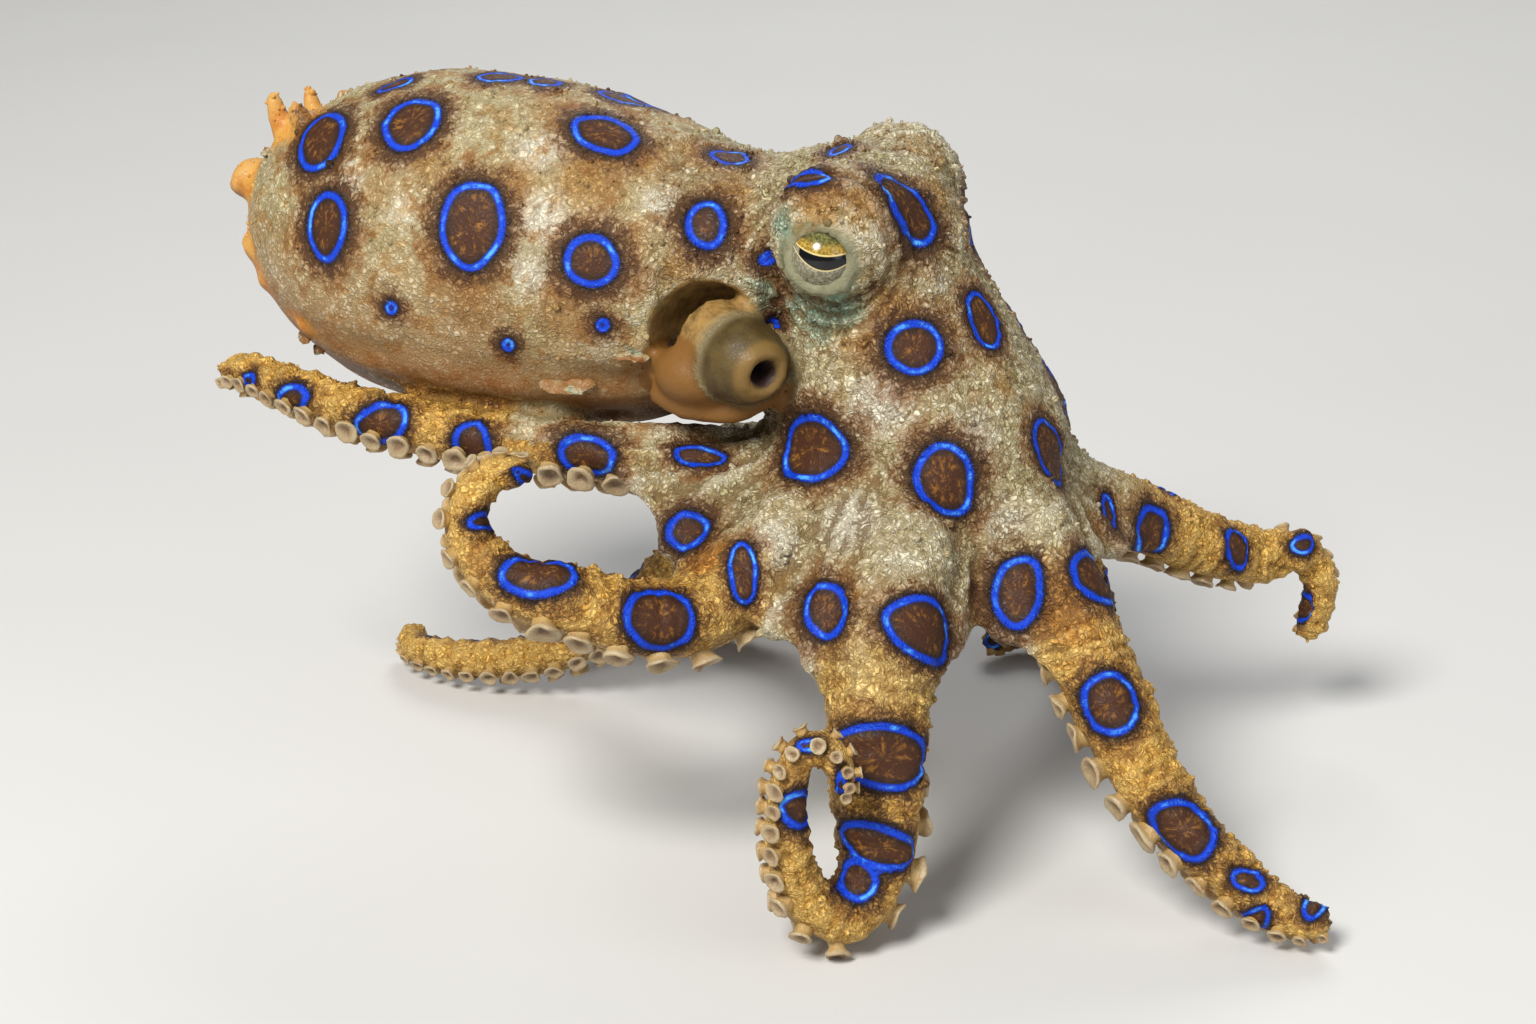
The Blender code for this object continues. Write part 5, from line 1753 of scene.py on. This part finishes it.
# %% [markdown]
# ## Grain and mottle
# Under a lens the skin is packed with beads, some pale and some stained brown, with dark gaps. The
# beads are Voronoi cells of two sizes. Over them lies a mottle of soft brown blots. Flesh, suckers
# and lips all carry both, in different strengths.

# %% Shared effects


def grain_of(place, size):
    place = scaled(place, calculate("DIVIDE", 1.0, size))
    warp = add(place.tree, "TexNoise", {"Vector": place, "Scale": 0.55, "Detail": 3.0}).outputs["Color"]
    pulled = {0: place, 1: scaled(Value(warp), 2.6)}
    bent = Value(add(place.tree, "VectorMath", pulled, operation="ADD").outputs[0])
    edge = cells(bent, 1.0, "DISTANCE_TO_EDGE")
    crease = ridge(clouds(bent, 1.6, 4.0, 0.6), 9.0)
    height = edge.step(0.0, 0.34) * 0.5 + (1.0 - crease) * 0.32 + (1.0 - cells(bent, 0.42, "F1")) * 0.22
    tone = add(place.tree, "SeparateColor", {0: cells(bent, 1.0, "F1", "Color")}).outputs[0]
    return {"Height": height, "Gap": greatest(edge.step(0.17, 0.02), crease * 0.9), "Tone": Value(tone)}


def mottle_of(place):
    fine = clouds(place, 0.38, 3.0, 0.65)
    large = clouds(place, 2.0, 4.0, 0.68)
    return {"Fine": fine, "Middle": clouds(place, 1.0, 4.0, 0.72), "Large": large,
            "Wide": clouds(place, 6.5, 2.0), "Blots": large.step(0.52, 0.68), "Specks": fine.step(0.55, 0.7)}


grain = grouped("skin grain", {"Place": "NodeSocketVector", "Size": "NodeSocketFloat"}, grain_of)
mottle = grouped("mottle", {"Place": "NodeSocketVector"}, mottle_of)

# %% [markdown]
# ## The flesh
# The paint is laid in the order that the skin has it: pale cream and tan by regions, brown mottle,
# the dark cloud round each ring, the brown middle, and the blue line last. The edges of the cloud
# and of the line are broken up by noise, since in life they follow the beads.

# %% Skin material
CREAM = (0.58, 0.52, 0.31)
WHITE = (0.82, 0.77, 0.59)
TAN = (0.42, 0.30, 0.125)
OLIVE = (0.36, 0.31, 0.10)
OCHRE = (0.80, 0.52, 0.15)
# Brown stain, also used as painted shade in the skin's dips.
STAIN_AND_SHADE = (0.14, 0.08, 0.024)
RUST = (0.21, 0.08, 0.015)
BROWN = (0.05, 0.018, 0.004)
DARK = (0.012, 0.006, 0.005)
RING_MIDDLE = (0.05, 0.015, 0.004)
RING_GOLD = (0.23, 0.095, 0.012)
BLUE = (0.0, 0.045, 0.54)
DEEP_BLUE = (0.001, 0.014, 0.24)
# Painted highlight on the blue line.
GLINT = (0.10, 0.46, 0.98)
# Brown of the underside, made darker as painted shade.
SHADED_BELLY = (0.24, 0.095, 0.02)
# The funnel's colours: its own, darkened as painted shade.
SHADED_FUNNEL_PALE = (0.105, 0.07, 0.02)
SHADED_FUNNEL_SKIN = (0.055, 0.032, 0.008)
SHADED_FUNNEL_LIP = (0.20, 0.115, 0.03)
# Painted shade inside the funnel.
FUNNEL_HOLE_SHADE = (0.03, 0.015, 0.012)
# Lighter than the pocket's own colour, as painted light.
LIGHTENED_POCKET_SKIN = (0.34, 0.20, 0.06)
COLLAR_SKIN = (0.19, 0.085, 0.018)
HEM_GOLD = (0.45, 0.34, 0.14)
TEAL = (0.25, 0.38, 0.32)
LID_SKIN = (0.13, 0.14, 0.075)
PEACH = (0.42, 0.27, 0.12)
TAG_ORANGE = (0.52, 0.20, 0.02)
TAG_PALE = (0.62, 0.35, 0.07)
ARM_CREST = (0.95, 0.77, 0.38)
MANTLE_TINT = (0.40, 0.33, 0.17)
AMBER = (0.78, 0.50, 0.22)
CHALK = (0.80, 0.77, 0.64)
ARM_TINT = (1.0, 0.82, 0.48)
TEAL_TINT = (0.76, 0.90, 0.85)
SKIN_GRAIN = 0.42
SKIN_BUMP = 0.15


def teal_patches(fields, patches):
    return fields["teal"].stirred(patches["Middle"], 1.3).stirred(patches["Fine"], 0.9).step(0.15, 0.8)


def bare_skin(fields, patches):
    """The skin's colour by regions, before its grain and its rings."""
    middle, large, wide = patches["Middle"], patches["Large"], patches["Wide"]
    base = mixed(wide.step(0.4, 0.66) * 0.6, CREAM, TAN)
    base = mixed(wide.step(0.48, 0.3) * 0.5, base, OLIVE)
    base = mixed(fields["mantle"] * 0.42, base, MANTLE_TINT)
    base = mixed(fields["chalk"].stirred(middle, 1.0).step(0.25, 0.8) * 0.8, base, CHALK)
    warm = fields["along"].step(0.18, 0.6).stirred(large, 0.8).step(0.0, 0.7)
    base = mixed(warm * fields["arm"] * 0.95, base, OCHRE)
    base = mixed(fields["oral"] * 0.75, base, PEACH)
    base = mixed(fields["tag"] * 0.95, base, mixed(large, TAG_ORANGE, TAG_PALE))
    # The underside and the hem turn brown: their own colour, with painted shade on the lower side of the
    # body.
    base = mixed(fields["under"] * (middle * 0.3 + 0.7), base, SHADED_BELLY)
    base = mixed(fields["lid"] * 0.9, base, LID_SKIN)
    return mixed(teal_patches(fields, patches) * 0.9, base, TEAL)


def grained(base, fields, patches, beads, rough):
    """Pale crests, partly painted highlight; painted shade in dips; brown specks over the bare colour."""
    relief = ((fields["crest"] + fields["swell"]) * 0.5).stirred(beads["Height"], 0.5)
    shade = add(rough.tree, "CombineColor", dict.fromkeys(range(3), beads["Tone"] * 0.4 + 0.72))
    base = mixed(rough, base, Value(shade.outputs[0]), "MULTIPLY")
    crest = mixed(fields["arm"] * fields["along"].step(0.1, 0.5), WHITE, ARM_CREST)
    # Crests turn pale: partly pale skin, partly painted highlight on what stands out.
    base = mixed(relief.step(0.54, 0.85) * rough * 0.62, base, crest)
    # Dips turn dark brown: painted shade in the hollows.
    base = mixed(relief.step(0.48, 0.22) * rough * 0.7, base, STAIN_AND_SHADE)
    base = mixed(beads["Gap"] * rough * 0.6, base, STAIN_AND_SHADE)
    base = mixed(patches["Blots"] * rough * 0.32, base, STAIN_AND_SHADE)
    return mixed(patches["Specks"] * rough * 0.3, base, BROWN)


def glazed(base, fields, patches):
    """Amber patches, blue-green ones and the gold of the arms, laid over the grain as a glaze."""
    middle, large = patches["Middle"], patches["Large"]
    amber = fields["amber"].stirred(large, 1.3).stirred(middle, 0.6).step(0.15, 0.8)
    golden = fields["along"].step(0.12, 0.5).stirred(large, 0.8).step(0.1, 0.6)
    for share, tint in ((amber * 0.9, AMBER), (large.step(0.54, 0.38) * fields["mantle"] * 0.7, AMBER),
                        (teal_patches(fields, patches), TEAL_TINT), (golden * fields["arm"], ARM_TINT)):
        base = mixed(share, base, tint, "MULTIPLY")
    return base


def ringed(base, fields, patches, height):
    """The rust and brown round each ring, its brown middle, and the blue line last."""
    fine, middle, large = patches["Fine"], patches["Middle"], patches["Large"]
    distance = fields["ring"]
    away = distance + fields["arm"] * 0.45
    base = mixed(away.stirred(large, 6.0).step(2.9, 1.0) * 0.7, base, RUST)
    near = away.stirred(middle, 3.4).stirred(height, 1.2).step(1.9, 0.6)
    stain = fields["cloud"].stirred(patches["Blots"], 0.8).step(0.35, 1.0)
    base = mixed(greatest(near, stain) * 0.9, base, BROWN)
    base = mixed(distance.stirred(fine, 0.9).step(0.75, 0.35) * 0.95, base, DARK)

    spoke = {"X": fields["ring_cos"] * 3.4, "Y": fields["ring_sin"] * 3.4, "Z": distance * 0.8}
    spoke = Value(add(distance.tree, "CombineXYZ", spoke).outputs[0])
    streak = clouds(spoke, 1.0, 4.0, 0.65).step(0.45, 0.72)
    gold = (streak * 0.5).stirred(middle, 1.5).stirred(fine, 1.6).step(0.05, 0.75)
    inside = mixed(distance.step(-0.9, -0.3) * 0.85, mixed(gold, RING_MIDDLE, RING_GOLD), DARK)
    base = mixed(distance.step(-0.16, -0.3), base, inside)

    from_line = abs(distance.stirred(middle, 0.2))
    # Lighter spots along the middle of the blue line are painted highlight.
    glint = large.step(0.5, 0.66) * from_line.step(0.21, 0.05)
    blue = mixed(glint * 0.75, mixed(from_line.step(0.08, 0.29), BLUE, DEEP_BLUE), GLINT)
    return mixed(from_line.step(0.32, 0.24), base, blue)


def smooth_parts(base, fields, patches):
    """The funnel, its collar, and the pocket they lie in, which have no grain."""
    middle, large = patches["Middle"], patches["Large"]
    # The pocket is painted lighter than its own colour: painted light on a part that lies in shade.
    base = mixed(fields["pocket"], base, mixed(middle.step(0.35, 0.7), LIGHTENED_POCKET_SKIN, STAIN_AND_SHADE))
    base = mixed(fields["pocket_rim"] * 0.8, base, HEM_GOLD)
    base = mixed(fields["collar"].stirred(middle, 0.3).step(0.2, 0.8), base, COLLAR_SKIN)
    # The funnel's skin and rim are painted darker: partly their own colour, partly painted shade.
    base = mixed(fields["funnel"], base, mixed(large.step(0.3, 0.75), SHADED_FUNNEL_SKIN, SHADED_FUNNEL_PALE))
    base = mixed(fields["funnel_rim"] * 0.85, base, SHADED_FUNNEL_LIP)
    # The inside of the funnel is painted dark: painted shade in the hole.
    return mixed(fields["hole"], base, FUNNEL_HOLE_SHADE)


def make_skin_material():
    made = Finish("octopus skin")
    fields = made.fields
    beads = use(grain, Place=made.place, Size=SKIN_GRAIN)
    patches = use(mottle, Place=made.place)
    smooth = greatest(fields["funnel"], fields["pocket"], fields["collar"], fields["under"] * 0.7,
                      fields["tag"] * 0.9, fields["lid"] * 0.85)
    rough = (1.0 - smooth) * (1.0 - fields["mantle"] * 0.3)
    in_ring = fields["ring"].step(0.15, -0.15)
    base = grained(bare_skin(fields, patches), fields, patches, beads, rough)
    base = ringed(glazed(base, fields, patches), fields, patches, beads["Height"])
    base = smooth_parts(base, fields, patches)
    made.set(Base_Color=base, Roughness=beads["Gap"] * 0.25 + 0.35 + in_ring * 0.12, Metallic=0.0,
             Specular_IOR_Level=0.3)
    made.bump(beads["Height"] * (rough * (0.9 - in_ring * 0.75) + 0.1), SKIN_BUMP)
    return made.material


# %% [markdown]
# ## Suckers, eyes, lips and floor
# A sucker's stem has the orange of the arm, and its cup is pale and almost clear, with a darker
# pit. The iris is gold above a black pupil that lies across it like a smile. The lips are darker.

# %% Other materials
STEM_PALE = (0.42, 0.31, 0.15)
STEM_GOLD = (0.44, 0.26, 0.07)
CUP_DARK = (0.27, 0.18, 0.08)
CUP_PALE = (0.52, 0.43, 0.27)
CUP_PIT = (0.16, 0.075, 0.03)
CUP_SPECK = (0.20, 0.10, 0.04)
CUP_BLOT = (0.26, 0.14, 0.06)
IRIS_GOLD = ((0.14, 0.08, 0.012), (0.54, 0.35, 0.055))
IRIS_GREEN = ((0.05, 0.05, 0.012), (0.20, 0.19, 0.06))
IRIS_GREY = ((0.14, 0.12, 0.07), (0.40, 0.38, 0.27))
IRIS_EDGE = (0.72, 0.58, 0.26)
PUPIL = (0.002, 0.002, 0.003)
PUPIL_MIDDLE = 0.45
PUPIL_TOP = 0.05
PUPIL_BOTTOM = -0.88
PUPIL_SOFT = 0.03
LIP_RED = (0.42, 0.17, 0.09)
LIP_PALE = (0.55, 0.30, 0.16)
FLOOR_TONES = ((0.60, 0.59, 0.57), (0.64, 0.63, 0.61))


def make_sucker_material():
    made = Finish("sucker")
    fine = use(grain, Place=made.place, Size=0.25)
    patches = use(mottle, Place=made.place)
    profile = made.fields["profile"]
    base = mixed(profile.step(0.2, 0.42), mixed(made.fields["along"], STEM_PALE, STEM_GOLD),
                 mixed(clouds(made.place, 1.8, 3.0), CUP_DARK, CUP_PALE))
    base = mixed(profile.step(0.62, 0.95) * 0.75, base, CUP_PIT)
    base = mixed(patches["Specks"] * 0.45, base, CUP_SPECK)
    base = mixed(patches["Blots"] * 0.35, base, CUP_BLOT)
    made.set(Base_Color=base, Roughness=fine["Gap"] * 0.2 + 0.3, Subsurface_Weight=0.25,
             Subsurface_Radius=(1.0, 0.5, 0.25), Subsurface_Scale=0.0008)
    made.bump(fine["Height"], 0.03)
    return made.material


def make_iris_material():
    """Above and below the pupil the iris has its own colours, and a thin gold edge."""
    made = Finish("iris")
    ahead, above = made.fields["forward"], made.fields["upward"]
    bend = calculate("POWER", ahead - PUPIL_MIDDLE, 2.0)
    top = bend * 0.14 + PUPIL_TOP
    bottom = bend * 0.27 + PUPIL_BOTTOM
    below_top = (top - above).step(-PUPIL_SOFT, PUPIL_SOFT)
    in_pupil = below_top * (above - bottom).step(-PUPIL_SOFT, PUPIL_SOFT)
    in_pupil = in_pupil * ahead.step(-1.45, -1.35) * ahead.step(2.05, 1.95)
    speck = clouds(made.place, 0.2, 4.0, 0.75)
    over = above - top
    upper = mixed(over.stirred(speck, 0.8).step(0.45, 1.1), mixed(speck.step(0.35, 0.68), *IRIS_GOLD),
                  mixed(speck.step(0.4, 0.65), *IRIS_GREEN))
    base = mixed(below_top, upper, mixed(speck.step(0.4, 0.7), *IRIS_GREY))
    edge = greatest(abs(over - 0.07).step(0.08, 0.02), abs(above - (bottom - 0.05)).step(0.07, 0.02))
    base = mixed(in_pupil, mixed(edge * 0.85, base, IRIS_EDGE), PUPIL)
    made.set(Base_Color=base, Roughness=0.22, Specular_IOR_Level=0.3, Coat_Weight=0.35, Coat_Roughness=0.04)
    return made.material


def make_lip_material():
    made = Finish("lips")
    fine = use(grain, Place=made.place, Size=0.3)
    base = mixed(use(mottle, Place=made.place)["Wide"], LIP_RED, LIP_PALE)
    made.set(Base_Color=mixed(fine["Gap"] * 0.5, base, BROWN), Roughness=0.4)
    made.bump(fine["Height"], 0.06)
    return made.material


def make_floor_material():
    made = Finish("pale floor")
    made.set(Base_Color=mixed(clouds(made.place, 60.0, 2.0), *FLOOR_TONES), Roughness=0.75)
    return made.material


skin_material = make_skin_material()
iris_material = make_iris_material()
for piece, finish in ((skin, skin_material), (warts, skin_material), (suckers, make_sucker_material()),
                      (eye_right, iris_material), (eye_left, iris_material), (lips, make_lip_material()),
                      (floor, make_floor_material())):
    piece.data.materials.clear()
    piece.data.materials.append(finish)

# %% [markdown]
# ## Hand the pieces to the frame
# One skin takes the place of every node of flesh, so no seam shows. The eyes and lips take the
# places of theirs. Nothing moves, so every piece rides on the one body.

# %% Ride and replace
flesh_nodes = [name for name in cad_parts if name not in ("eye_right", "eye_left", "mouth")]
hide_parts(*flesh_nodes)
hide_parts("eye_right")
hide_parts("eye_left")
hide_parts("mouth")
for piece, slot in ((skin, "skin"), (warts, "skin"), (suckers, "sucker"), (eye_right, "eye"),
                    (eye_left, "eye"), (lips, "mouth")):
    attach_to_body(piece, "root")
